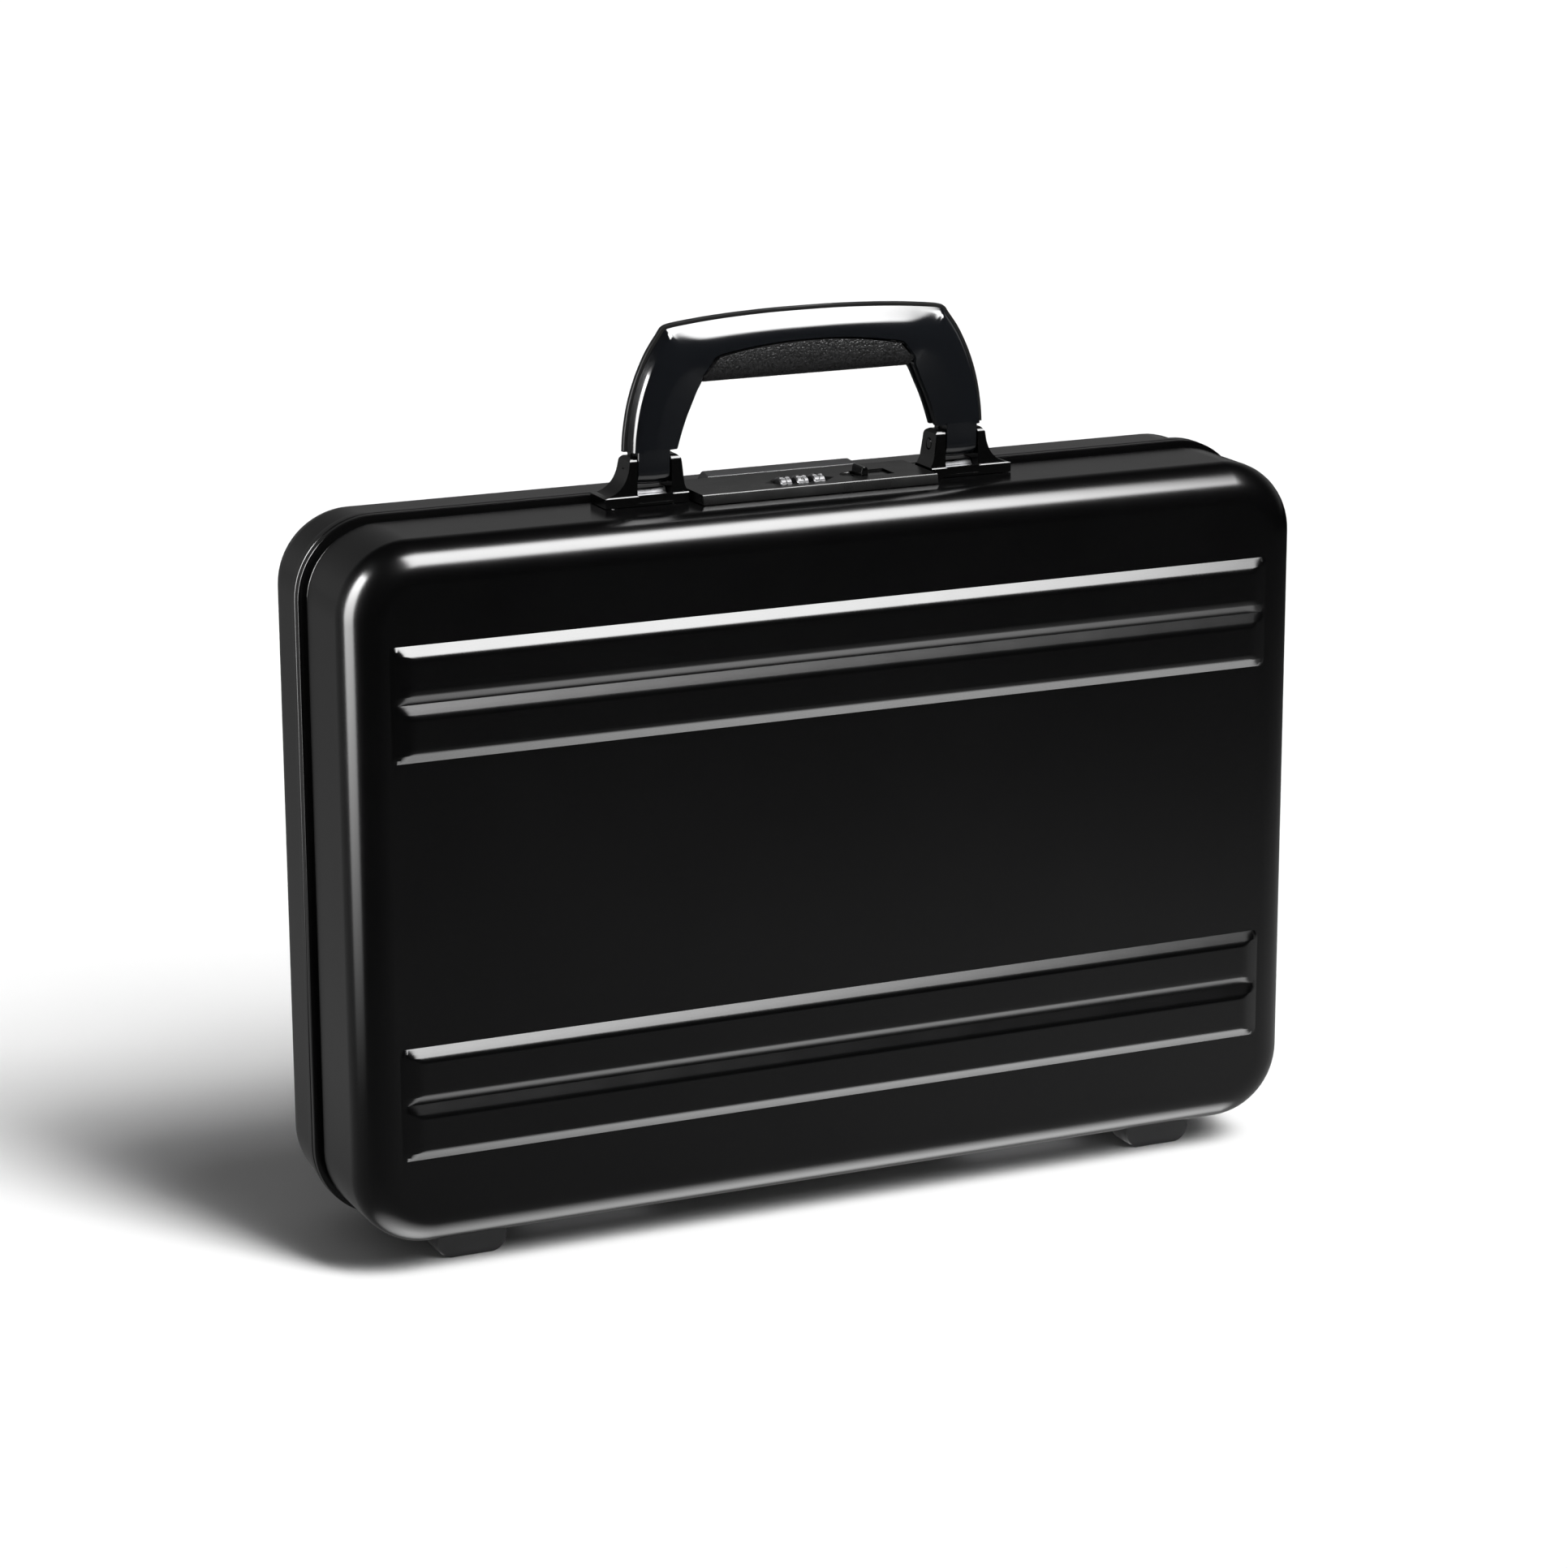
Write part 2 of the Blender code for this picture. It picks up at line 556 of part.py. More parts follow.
def make_bracket(label, side, black, steel):
    depth = [(-0.0180, 0.0003), (-0.0006, 0.0003), (-0.0006, 0.0046), (-0.0020, 0.0050),
             (-0.0036, 0.0185), (-0.0066, 0.0212), (-0.0142, 0.0212), (-0.0165, 0.0190),
             (-0.0165, 0.0050), (-0.0180, 0.0046)]
    bracket = slab("handle_bracket_" + label, bracket_outline(side), -0.0190, 0.0005, "XZ", black)
    trim = slab(f"bracket_{label}_trim", [(y, TOP + z) for y, z in depth], -0.12, 0.12, "YZ")
    apply_boolean(bracket, trim, "INTERSECT")
    low_x, high_x = sorted((side * 0.0655, side * 0.0830))
    lip = box(f"bracket_{label}_lip", (low_x, -0.0179, TOP + 0.0006), (high_x, -0.0168, TOP + 0.0045))
    join(bracket, lip)
    bore_low, bore_high = sorted((side * 0.0580, side * 0.0864))
    cut(bracket, rod(f"bracket_{label}_bore", bore_low, bore_high, HANDLE_Y, TOP + PIVOT_Z, HANDLE_BORE_R))
    sink_low, sink_high = sorted((side * 0.0580, side * 0.0624))
    cut(bracket, rod(f"bracket_{label}_sink", sink_low, sink_high, HANDLE_Y, TOP + PIVOT_Z, 0.0027))
    for number, x in enumerate((0.0640, 0.0925)):
        place = "inner" if number == 0 else "outer"
        cut(bracket, upright_rod(f"bracket_{label}_hole_{number}", side * x, BRACKET_SCREW_Y, TOP - 0.001,
                                 TOP + 0.0038, 0.0019))
        cut(bpy.data.objects["front_shell"],
            upright_rod(f"shell_{label}_hole_{number}", side * x, BRACKET_SCREW_Y,
                        TOP - 0.003, TOP + 0.001, 0.0019))
        screw = upright_rod(f"bracket_screw_{label}_{place}", side * x, BRACKET_SCREW_Y,
                            TOP - 0.0021, TOP + 0.0034, 0.0015, steel)
        join(screw, upright_rod(f"screw_head_{label}_{number}", side * x, BRACKET_SCREW_Y, TOP - 0.0040,
                                TOP - 0.0019, 0.0028))


def make_handle_pivot(label, side, steel):
    low_x, high_x = sorted((side * 0.0608, side * 0.0860))
    pin = rod("handle_pin_" + label, low_x, high_x, HANDLE_Y, TOP + PIVOT_Z, HANDLE_PIN_R, steel)
    head_low, head_high = sorted((side * 0.0608, side * 0.0620))
    join(pin, rod(f"pin_head_{label}", head_low, head_high, HANDLE_Y, TOP + PIVOT_Z, 0.0023))
    block_low, block_high = sorted((side * 0.0665, side * 0.0820))
    section = [(-0.0124, TOP + 0.0018), (-0.0099, TOP + 0.0060), (-0.0093, TOP + 0.0064),
               (-0.0032, TOP + 0.0064), (-0.0032, TOP + 0.0018)]
    slab("handle_stop_" + label, section, block_low, block_high, "YZ", steel)


def cut_top_openings():
    """Holes of the front shell for the dials and the slider's stem."""
    shell = bpy.data.objects["front_shell"]
    dials = box("shell_dial_hole", (-0.0194, -0.0225, TOP - 0.003), (0.0102, -0.0075, TOP + 0.001))
    stem = box("shell_stem_hole", (0.0234, -0.0174, TOP - 0.003), (0.0378, -0.0116, TOP + 0.001))
    cut(shell, dials, stem)


def hang_on_axis(name, location, pieces):
    """Parent a moving body's pieces to an empty that stands on its joint's axis."""
    axis = bpy.data.objects.new(name, None)
    axis.location = location
    axis.empty_display_size = 0.02
    PARTS.objects.link(axis)
    for piece in pieces:
        part = bpy.data.objects[piece]
        part.parent = axis
        part.matrix_parent_inverse = Matrix.Translation(location).inverted()


def place_moving_bodies():
    hang_on_axis("lid_axis", (0.0, PARTING_Y, HINGE_Z), LID_PIECES)
    hang_on_axis("handle_axis", (0.0, HANDLE_Y, TOP + PIVOT_Z),
                 ("handle_core", "handle_front_cover", "handle_rear_cover", "handle_grip"))
    hang_on_axis("slider_guide", (0.026, DIAL_Y, TOP + PLATE_Z), ("slide_button", "latch_bar"))
    for number, x in enumerate(DIAL_X):
        hang_on_axis(f"dial_{number + 1}_axis", (x, DIAL_Y, TOP + DIAL_Z), (f"dial_{number + 1}",))


def main():
    start_scene()
    anodised = make_material("black_anodised", (0.028, 0.028, 0.030), 0.34, 0.9)
    frame_black = make_material("frame_anodised", (0.035, 0.035, 0.038), 0.30, 0.9)
    black = make_material("black_lacquer", (0.020, 0.020, 0.022), 0.30, 0.2)
    gloss = make_material("gloss_black", (0.012, 0.012, 0.016), 0.10, 0.3)
    satin = make_material("satin_black", (0.050, 0.050, 0.052), 0.40, 0.3)
    rubber = make_material("black_rubber", (0.030, 0.030, 0.032), 0.75, 0.0)
    grey_foot = make_material("grey_foot", (0.055, 0.055, 0.058), 0.55, 0.0)
    steel = make_material("steel", (0.55, 0.55, 0.56), 0.30, 1.0)
    silver = make_material("silver_dial", (0.72, 0.72, 0.73), 0.22, 1.0)
    fabric = make_material("charcoal_lining", (0.040, 0.040, 0.045), 0.90, 0.0)

    make_shell("front_shell", -1, FRONT_RIM_Y, anodised)
    make_shell("rear_shell", 1, REAR_RIM_Y, anodised)
    make_frames(frame_black, rubber)
    make_lining("front_lining", -1, -0.0285, fabric)
    make_lining("rear_lining", 1, 0.0285, fabric)
    make_organiser(fabric)
    for label, side in (("left", -1), ("right", 1)):
        make_foot("front_foot_" + label, side * FOOT_X, FOOT_FRONT_Y, grey_foot)
        make_foot("rear_foot_" + label, side * FOOT_X, FOOT_REAR_Y, grey_foot)
    make_hinges(steel)
    cut_top_openings()
    make_lock_plate(black)
    make_dials(steel, silver)
    make_slider(black, steel)
    make_lock_inside(steel)
    make_latch_spring(steel)
    make_keeper(black)
    make_handle(gloss, satin, rubber)
    for label, side in (("left", -1), ("right", 1)):
        make_bracket(label, side, black, steel)
        make_handle_pivot(label, side, steel)
    place_moving_bodies()


main()
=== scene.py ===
"""Black aluminium attache case standing on a pale studio floor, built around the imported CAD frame."""
import json
import math

import bmesh
import bpy
from mathutils import Matrix, Vector


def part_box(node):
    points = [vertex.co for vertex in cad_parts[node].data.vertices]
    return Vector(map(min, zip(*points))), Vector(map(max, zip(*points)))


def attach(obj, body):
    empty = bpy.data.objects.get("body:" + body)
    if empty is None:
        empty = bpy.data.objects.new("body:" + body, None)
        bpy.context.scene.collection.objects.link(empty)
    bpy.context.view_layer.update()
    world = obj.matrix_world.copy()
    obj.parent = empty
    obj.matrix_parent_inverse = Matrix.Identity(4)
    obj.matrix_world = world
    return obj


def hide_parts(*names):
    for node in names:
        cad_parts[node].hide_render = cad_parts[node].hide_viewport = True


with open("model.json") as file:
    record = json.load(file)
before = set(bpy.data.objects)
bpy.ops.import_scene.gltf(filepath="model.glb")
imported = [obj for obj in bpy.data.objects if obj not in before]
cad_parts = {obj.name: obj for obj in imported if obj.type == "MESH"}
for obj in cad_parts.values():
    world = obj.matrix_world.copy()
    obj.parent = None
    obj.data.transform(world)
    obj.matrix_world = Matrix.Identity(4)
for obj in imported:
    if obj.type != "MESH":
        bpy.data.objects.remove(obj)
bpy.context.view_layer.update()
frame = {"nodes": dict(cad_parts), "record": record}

MM = 0.001
SHELL_LOW, SHELL_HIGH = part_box("front_shell")
REAR_LOW, REAR_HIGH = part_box("rear_shell")
HALF_W = SHELL_HIGH[0]
BOTTOM = SHELL_LOW[2]
TOP = SHELL_HIGH[2]
MID_Z = (BOTTOM + TOP) / 2
HALF_H = (TOP - BOTTOM) / 2
CREST_Y = -SHELL_LOW[1]
FRONT_RIM_Y = SHELL_HIGH[1]
REAR_RIM_Y = REAR_LOW[1]

RIB_H = 3.6 * MM
PANEL_Y = CREST_Y - RIB_H
CORNER_R = 33 * MM
EDGE_R = 17 * MM
WALL = 1.6 * MM
RIB_WIDTH = 25.3 * MM
RIB_HALF_LENGTH = 210.5 * MM
RIB_PAIR_OFFSET = 88.3 * MM
CORNER_STEPS = 16
FILLET_STEPS = 12
RIM_ROUND = 0.3 * MM
PARTING_Y = 8.2 * MM
HINGE_X = 110 * MM
HINGE_HALF = 30 * MM
HINGE_Z = BOTTOM - 5.4 * MM
DIAL_X = [(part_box(f"dial_{n}")[0][0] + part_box(f"dial_{n}")[1][0]) / 2 for n in (1, 2, 3)]
DIAL_Y = -15 * MM
DIAL_Z = TOP + 1.1 * MM
HANDLE_Y = -10 * MM

# The handle's own numbers, millimetres
PIVOT_RISE = 14.6        # pivot above the case's top
COVER_INSET = 1.6        # core's rim left showing round a cover
COVER_INNER = 1.8        # cover's inner face from the handle's middle plane
TONGUE_R = 6.5
TONGUE_TOP = 24.3
PIVOT_Z = TOP + PIVOT_RISE * MM

# Studio
FLOOR_PAINTED_GLOW_CENTER = (0.38, -0.12, 0.0)   # centre of the painted glow the floor shows only in reflections
FLOOR_PAINTED_GLOW_REACH = 0.52
# Strength of the floor's painted glow, an emission that only glossy rays see
FLOOR_PAINTED_GLOW = 0.44
FLOOR_PAINTED_GLOW_BEHIND = 0.17                 # painted glow of the floor behind and left of the case, only in reflections
FILL = 0.13
BACKDROP = 0.2
KEY_ELEVATION = 64
KEY_LEAN = math.radians(15)
LEFT_POWER = 8.0
SUN_AZIMUTH = 25.6
SUN_ELEVATION = 52
SUN_POWER = 1.35


# ---- Materials ----
def new_material(name, color, roughness, metallic=0.0):
    material = bpy.data.materials.new(name)
    material.use_nodes = True
    shader = material.node_tree.nodes["Principled BSDF"]
    shader.inputs["Base Color"].default_value = (*color, 1.0)
    shader.inputs["Roughness"].default_value = roughness
    shader.inputs["Metallic"].default_value = metallic
    return material, material.node_tree, shader


def noise(tree, scale, detail=3.0):
    coords = tree.nodes.new("ShaderNodeTexCoord")
    texture = tree.nodes.new("ShaderNodeTexNoise")
    texture.inputs["Scale"].default_value = scale
    texture.inputs["Detail"].default_value = detail
    texture.inputs["Roughness"].default_value = 0.55
    tree.links.new(coords.outputs["Object"], texture.inputs["Vector"])
    return texture.outputs["Fac"]


def remap(tree, value, low, high, start=0.3, end=0.7):
    node = tree.nodes.new("ShaderNodeMapRange")
    node.inputs["From Min"].default_value = start
    node.inputs["From Max"].default_value = end
    node.inputs["To Min"].default_value = low
    node.inputs["To Max"].default_value = high
    tree.links.new(value, node.inputs["Value"])
    return node.outputs["Result"]


def vary_color(tree, shader, value, dark, light):
    mix = tree.nodes.new("ShaderNodeMix")
    mix.data_type = "RGBA"
    mix.inputs["A"].default_value = (*dark, 1.0)
    mix.inputs["B"].default_value = (*light, 1.0)
    tree.links.new(value, mix.inputs["Factor"])
    tree.links.new(mix.outputs["Result"], shader.inputs["Base Color"])


def add_bump(tree, shader, value, distance, strength=1.0):
    bump = tree.nodes.new("ShaderNodeBump")
    bump.inputs["Distance"].default_value = distance
    bump.inputs["Strength"].default_value = strength
    tree.links.new(value, bump.inputs["Height"])
    tree.links.new(bump.outputs["Normal"], shader.inputs["Normal"])


def grained_material(name, dark, light, roughness, metallic, grain, depth, strength=1.0, specular=0.5,
                     speckled=False):
    """Fine even grain: colour and roughness drift slowly; the bump follows it, as a speckled colour does."""
    material, tree, shader = new_material(name, light, roughness[0], metallic)
    shader.inputs["Specular IOR Level"].default_value = specular
    fine = noise(tree, grain, 2.0)
    broad = noise(tree, 14.0, 3.0)
    vary_color(tree, shader, remap(tree, fine if speckled else broad, 0.0, 1.0), dark, light)
    tree.links.new(remap(tree, noise(tree, 55.0, 4.0), *roughness), shader.inputs["Roughness"])
    add_bump(tree, shader, fine, depth, strength)
    return material


def woven_material(name, dark, light, threads):
    material, tree, shader = new_material(name, light, 0.85)
    shader.inputs["Sheen Weight"].default_value = 0.3
    coords = tree.nodes.new("ShaderNodeTexCoord")
    waves = []
    for direction in ("X", "Z"):
        wave = tree.nodes.new("ShaderNodeTexWave")
        wave.bands_direction = direction
        wave.inputs["Scale"].default_value = threads
        wave.inputs["Distortion"].default_value = 0.4
        tree.links.new(coords.outputs["Object"], wave.inputs["Vector"])
        waves.append(wave.outputs["Fac"])
    weave = tree.nodes.new("ShaderNodeMath")
    weave.operation = "MULTIPLY"
    tree.links.new(waves[0], weave.inputs[0])
    tree.links.new(waves[1], weave.inputs[1])
    vary_color(tree, shader, weave.outputs["Value"], dark, light)
    add_bump(tree, shader, weave.outputs["Value"], 0.0003, 0.8)
    return material


# Finish: material name, dark and light colour, roughness range, metallic, grains per metre,
# grain depth, bump strength, specular level and whether the colour follows the grain.
FINISHES = {
    "black_anodised": ("anodised_black", (0.0012, 0.0012, 0.0013), (0.0018, 0.0018, 0.0019),
                       (0.19, 0.21), 0.0, 5200.0, 0.00001, 0.2, 0.5),
    "frame_anodised": ("anodised_frame", (0.0016, 0.0016, 0.0017), (0.0024, 0.0024, 0.0025),
                       (0.20, 0.23), 0.0, 5200.0, 0.00001, 0.2, 0.5),
    "black_lacquer": ("lacquer_black", (0.003, 0.003, 0.003), (0.005, 0.005, 0.005),
                      (0.26, 0.32), 0.0, 3200.0, 0.00004, 0.6, 0.5),
    "bracket_gloss": ("bracket_gloss", (0.0015, 0.0015, 0.0015), (0.0025, 0.0025, 0.0026),
                      (0.14, 0.18), 0.0, 900.0, 0.00001, 0.15, 0.5),
    "gloss_black": ("moulding_gloss", (0.005, 0.0056, 0.0068), (0.006, 0.0068, 0.0082),
                    (0.11, 0.14), 0.0, 900.0, 0.00001, 0.1, 0.6),
    "satin_black": ("core_satin", (0.006, 0.006, 0.006), (0.010, 0.010, 0.010),
                    (0.42, 0.50), 0.0, 2500.0, 0.00003, 0.5, 0.3),
    "black_rubber": ("rubber_textured", (0.001, 0.001, 0.001), (0.024, 0.024, 0.025),
                     (0.36, 0.44), 0.0, 900.0, 0.0010, 1.0, 0.5, True),
    "grey_foot": ("moulding_grey", (0.030, 0.030, 0.031), (0.042, 0.042, 0.043),
                  (0.48, 0.58), 0.0, 1800.0, 0.00006, 0.7, 0.4),
    "steel": ("steel_plain", (0.50, 0.50, 0.51), (0.62, 0.62, 0.63),
              (0.22, 0.34), 1.0, 1200.0, 0.00002, 0.4),
    "silver_dial": ("dial_plated", (0.20, 0.20, 0.205), (0.28, 0.28, 0.285),
                    (0.30, 0.40), 1.0, 1500.0, 0.00002, 0.4),
    "stop_plated": ("stop_plated", (0.13, 0.13, 0.135), (0.18, 0.18, 0.185),
                    (0.36, 0.44), 1.0, 1500.0, 0.00002, 0.4),
    "keeper_satin": ("keeper_satin", (0.055, 0.055, 0.057), (0.070, 0.070, 0.072),
                     (0.30, 0.36), 0.0, 2600.0, 0.00003, 0.5, 0.5),
}


def make_materials():
    made = {slot: grained_material(*finish) for slot, finish in FINISHES.items()}
    made["charcoal_lining"] = woven_material("lining_cloth", (0.012, 0.012, 0.014), (0.045, 0.045, 0.050),
                                             420.0)
    return made


MATERIALS = make_materials()


def ink_material():
    material, tree, shader = new_material("numeral_ink", (0.006, 0.006, 0.006), 0.5)
    add_bump(tree, shader, noise(tree, 2400.0), 0.00003, 0.5)
    return material


# ---- Mesh helpers ----
def finish_piece(name, bm, body, slot, replaced=(), sharp=30.0, bevel=0.0, bevel_steps=2, cutters=(),
                 extra_material=None, material=None):
    """Make a piece from a bmesh: cut it, round its edges, shade it, and tie it to its body.

    Faces with material index 1 get extra_material; material stands in for the slot's own finish.
    """
    bmesh.ops.recalc_face_normals(bm, faces=bm.faces)
    mesh = bpy.data.meshes.new(name)
    bm.to_mesh(mesh)
    bm.free()
    piece = bpy.data.objects.new(name, mesh)
    bpy.context.scene.collection.objects.link(piece)
    for cutter in cutters:
        modifier = piece.modifiers.new("cut", "BOOLEAN")
        modifier.operation = "DIFFERENCE"
        modifier.object = cutter
    if cutters:
        apply_modifiers(piece)
        for cutter in cutters:
            bpy.data.objects.remove(cutter, do_unlink=True)
    if bevel:
        rounding = piece.modifiers.new("rounding", "BEVEL")
        rounding.width = bevel
        rounding.segments = bevel_steps
        rounding.limit_method = "ANGLE"
        rounding.angle_limit = math.radians(40)
        rounding.miter_outer = "MITER_ARC"
        apply_modifiers(piece)
    piece.data.shade_smooth()
    piece.data.set_sharp_from_angle(angle=math.radians(sharp))
    weighted = piece.modifiers.new("even_shading", "WEIGHTED_NORMAL")
    weighted.keep_sharp = True
    inked = [face.index for face in piece.data.polygons if face.material_index]
    piece.data.materials.clear()
    piece.data.materials.append(MATERIALS[material or slot])
    if extra_material:
        piece.data.materials.append(extra_material)
        for index in inked:
            piece.data.polygons[index].material_index = 1
    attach(piece, body)
    if replaced:
        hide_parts(*replaced)
    return piece


def apply_modifiers(piece):
    bpy.context.view_layer.update()
    depsgraph = bpy.context.evaluated_depsgraph_get()
    evaluated = bpy.data.meshes.new_from_object(piece.evaluated_get(depsgraph))
    piece.modifiers.clear()
    piece.data = evaluated


def solid(bm):
    """A temporary object used to cut another piece."""
    bmesh.ops.recalc_face_normals(bm, faces=bm.faces)
    mesh = bpy.data.meshes.new("cutter")
    bm.to_mesh(mesh)
    bm.free()
    cutter = bpy.data.objects.new("cutter", mesh)
    bpy.context.scene.collection.objects.link(cutter)
    return cutter


def add_box(bm, low, high):
    made = bmesh.ops.create_cube(bm, size=1.0)["verts"]
    for vert in made:
        vert.co = [a + (b - a) * (c + 0.5) for a, b, c in zip(low, high, vert.co)]
    return made


def add_rod(bm, x_low, x_high, y, z, radius, sides=32, axis="X"):
    turn = Matrix.Rotation(math.pi / 2, 4, "Y") if axis == "X" else Matrix.Identity(4)
    center = ((x_low + x_high) / 2, y, z) if axis == "X" else (y, z, (x_low + x_high) / 2)
    made = bmesh.ops.create_cone(bm, cap_ends=True, segments=sides, radius1=radius, radius2=radius,
                                 depth=x_high - x_low, matrix=Matrix.Translation(center) @ turn)
    return made["verts"]


def box_mesh(low, high):
    bm = bmesh.new()
    add_box(bm, low, high)
    return bm


def rod_mesh(*args, **more):
    bm = bmesh.new()
    add_rod(bm, *args, **more)
    return bm


def add_prism(bm, points, low, high, plane="XZ"):
    """Extrude an outline: XZ points along Y, or YZ points along X."""
    def place(u, v, w):
        return (u, w, v) if plane == "XZ" else (w, u, v)
    near = [bm.verts.new(place(u, v, low)) for u, v in points]
    far = [bm.verts.new(place(u, v, high)) for u, v in points]
    bm.faces.new(near)
    bm.faces.new(list(reversed(far)))
    for i in range(len(points)):
        j = (i + 1) % len(points)
        bm.faces.new((near[i], far[i], far[j], near[j]))
    return near + far


def prism_mesh(points, low, high, plane="XZ"):
    bm = bmesh.new()
    add_prism(bm, points, low, high, plane)
    return bm


def add_loft(bm, rows, ring=False, caps=True):
    """Skin rows of closed loops of points; ring also joins the last row to the first."""
    loops = [[bm.verts.new(point) for point in row] for row in rows]
    count = len(loops[0])
    pairs = list(zip(loops, loops[1:]))
    if ring:
        pairs.append((loops[-1], loops[0]))
    for before, after in pairs:
        for i in range(count):
            j = (i + 1) % count
            bm.faces.new((before[i], before[j], after[j], after[i]))
    if caps and not ring:
        bm.faces.new(list(reversed(loops[0])))
        bm.faces.new(loops[-1])
    return loops


def arc(center, radius, start, end, steps):
    angles = [math.radians(start + (end - start) * i / steps) for i in range(steps + 1)]
    return [(center[0] + radius * math.cos(a), center[1] + radius * math.sin(a)) for a in angles]


def spline(points, per_span):
    """A smooth curve through points of any dimension, per_span steps between neighbours."""
    ends = [points[0]] + list(points) + [points[-1]]
    result = [tuple(points[0])]
    for a, b, c, d in zip(ends, ends[1:], ends[2:], ends[3:]):
        for step in range(1, per_span + 1):
            t = step / per_span
            result.append(tuple(
                0.5 * (2 * q + (r - p) * t + (2 * p - 5 * q + 4 * r - s) * t * t
                       + (3 * q - p - 3 * r + s) * t ** 3) for p, q, r, s in zip(a, b, c, d)))
    return result


# ---- Shells and frames ----
def case_outline(out, breaks=()):
    """The case's outline moved out by a distance, from the bottom right corner counterclockwise."""
    breaks = sorted(breaks)
    half_x, half_z = HALF_W - CORNER_R, HALF_H - CORNER_R
    radius = CORNER_R + out
    points = arc((half_x, MID_Z - half_z), radius, -90, 0, CORNER_STEPS)
    points += [(half_x + radius, z) for z in breaks]
    points += arc((half_x, MID_Z + half_z), radius, 0, 90, CORNER_STEPS)
    points += arc((-half_x, MID_Z + half_z), radius, 90, 180, CORNER_STEPS)
    points += [(-half_x - radius, z) for z in reversed(breaks)]
    points += arc((-half_x, MID_Z - half_z), radius, 180, 270, CORNER_STEPS)
    return points


def rib_stations():
    """Lines of the panel's grid across one pair of ribs, each with its share of the full height."""
    def slope(angle, base, flat_width, round_width, steps=8):
        lean = math.tan(math.radians(angle)) / (RIB_H / MM)
        points = [(0.0, base), (flat_width / 2, base + lean * flat_width / 2),
                  (flat_width, base + lean * flat_width)]
        for i in range(1, steps + 1):
            t = i / steps
            points.append((flat_width + round_width * t,
                           points[2][1] + lean * round_width * (t - t * t / 2)))
        return points
    outer = slope(34.2, 0.0, 3.7, 2.9)
    crest = outer[-1][1]
    inner = slope(28.5, crest - math.tan(math.radians(28.5)) / (RIB_H / MM) * 5.3, 3.8, 3.0)
    width = RIB_WIDTH / MM
    one = outer + [(width - distance, share) for distance, share in reversed(inner)]
    one = [(distance * MM, share / crest) for distance, share in one]
    return [(d - RIB_WIDTH, s) for d, s in one] + [(-d + RIB_WIDTH, s) for d, s in reversed(one[:-1])]


def rib_run():
    length, steps = 13.0 * MM, 18
    ramp = [(length * i / steps, 1.2 * (1 - (1 - i / steps) ** 1.7)) for i in range(steps + 1)]
    left = [(-RIB_HALF_LENGTH + distance, share) for distance, share in ramp]
    return left + [(-x, share) for x, share in reversed(left)]


def rib_height(across, along):
    """The lower of the two slopes at a point, blended where they meet."""
    blend = 0.16
    overlap = max(blend - abs(across - along), 0.0)
    return max(min(across, along) - overlap * overlap / (4 * blend), 0.0) * RIB_H


def make_shell(name, side, rim_y, body, cutters=()):
    """A pressed tray with two pairs of ribs on its panel; side is -1 for the front."""
    zs, xs = rib_stations(), rib_run()
    groups = [MID_Z + pair * RIB_PAIR_OFFSET for pair in (-1, 1)]
    breaks = [center + z for center in groups for z in (zs[0][0], zs[-1][0])]
    bm = bmesh.new()
    panel = side * PANEL_Y
    rows = []
    inner_r = EDGE_R - WALL
    for i in range(FILLET_STEPS + 1):
        angle = math.radians(90 - 90 * i / FILLET_STEPS)
        rows.append((-WALL - inner_r + inner_r * math.cos(angle),
                     panel - side * (WALL + inner_r) + side * inner_r * math.sin(angle)))
    rows += [(-WALL, rim_y + side * RIM_ROUND), (-WALL + RIM_ROUND, rim_y)]
    rows += [(-RIM_ROUND, rim_y), (0.0, rim_y + side * RIM_ROUND)]
    for i in range(FILLET_STEPS + 1):
        angle = math.radians(90 * i / FILLET_STEPS)
        rows.append((-EDGE_R + EDGE_R * math.cos(angle),
                     panel - side * EDGE_R + side * EDGE_R * math.sin(angle)))
    loops = add_loft(bm, [[(x, y, z) for x, z in case_outline(out, breaks)] for out, y in rows], caps=False)
    bm.faces.new(loops[0])
    rim = loops[-1]
    first_break = CORNER_STEPS + 1
    right = rim[first_break:first_break + 4]
    left_start = first_break + 4 + 2 * (CORNER_STEPS + 1)
    left = list(reversed(rim[left_start:left_start + 4]))
    grids = []
    for center in groups:
        grids.append([[bm.verts.new((x, panel + side * rib_height(sz, sx), center + z)) for x, sx in xs]
                      for z, sz in zs])
    for grid in grids:
        for low, high in zip(grid, grid[1:]):
            for i in range(len(xs) - 1):
                bm.faces.new((low[i], low[i + 1], high[i + 1], high[i]))
    low_grid, high_grid = grids
    for number, grid in enumerate(grids):
        bm.faces.new([right[2 * number + 1], right[2 * number]] + [row[-1] for row in grid])
        bm.faces.new([left[2 * number], left[2 * number + 1]] + [row[0] for row in reversed(grid)])
    bm.faces.new([left[2], left[1]] + low_grid[-1] + [right[1], right[2]] + list(reversed(high_grid[0])))
    top_rim = rim[first_break + 4:left_start]
    bm.faces.new([right[3]] + top_rim + [left[3]] + high_grid[-1])
    bottom_rim = rim[left_start + 4:] + rim[:first_break]
    bm.faces.new([left[0]] + bottom_rim + [right[0]] + list(reversed(low_grid[0])))
    return finish_piece(name + "_pressed", bm, body, "black_anodised", [name], sharp=24.0, cutters=cutters)


def make_ring(name, section, body, slot, replaced, cutters=(), sharp=28.0):
    bm = bmesh.new()
    rows = [[(x, y * MM, z) for x, z in case_outline(out * MM)] for out, y in section]
    add_loft(bm, rows, ring=True)
    return finish_piece(name, bm, body, slot, replaced, sharp=sharp, cutters=cutters)


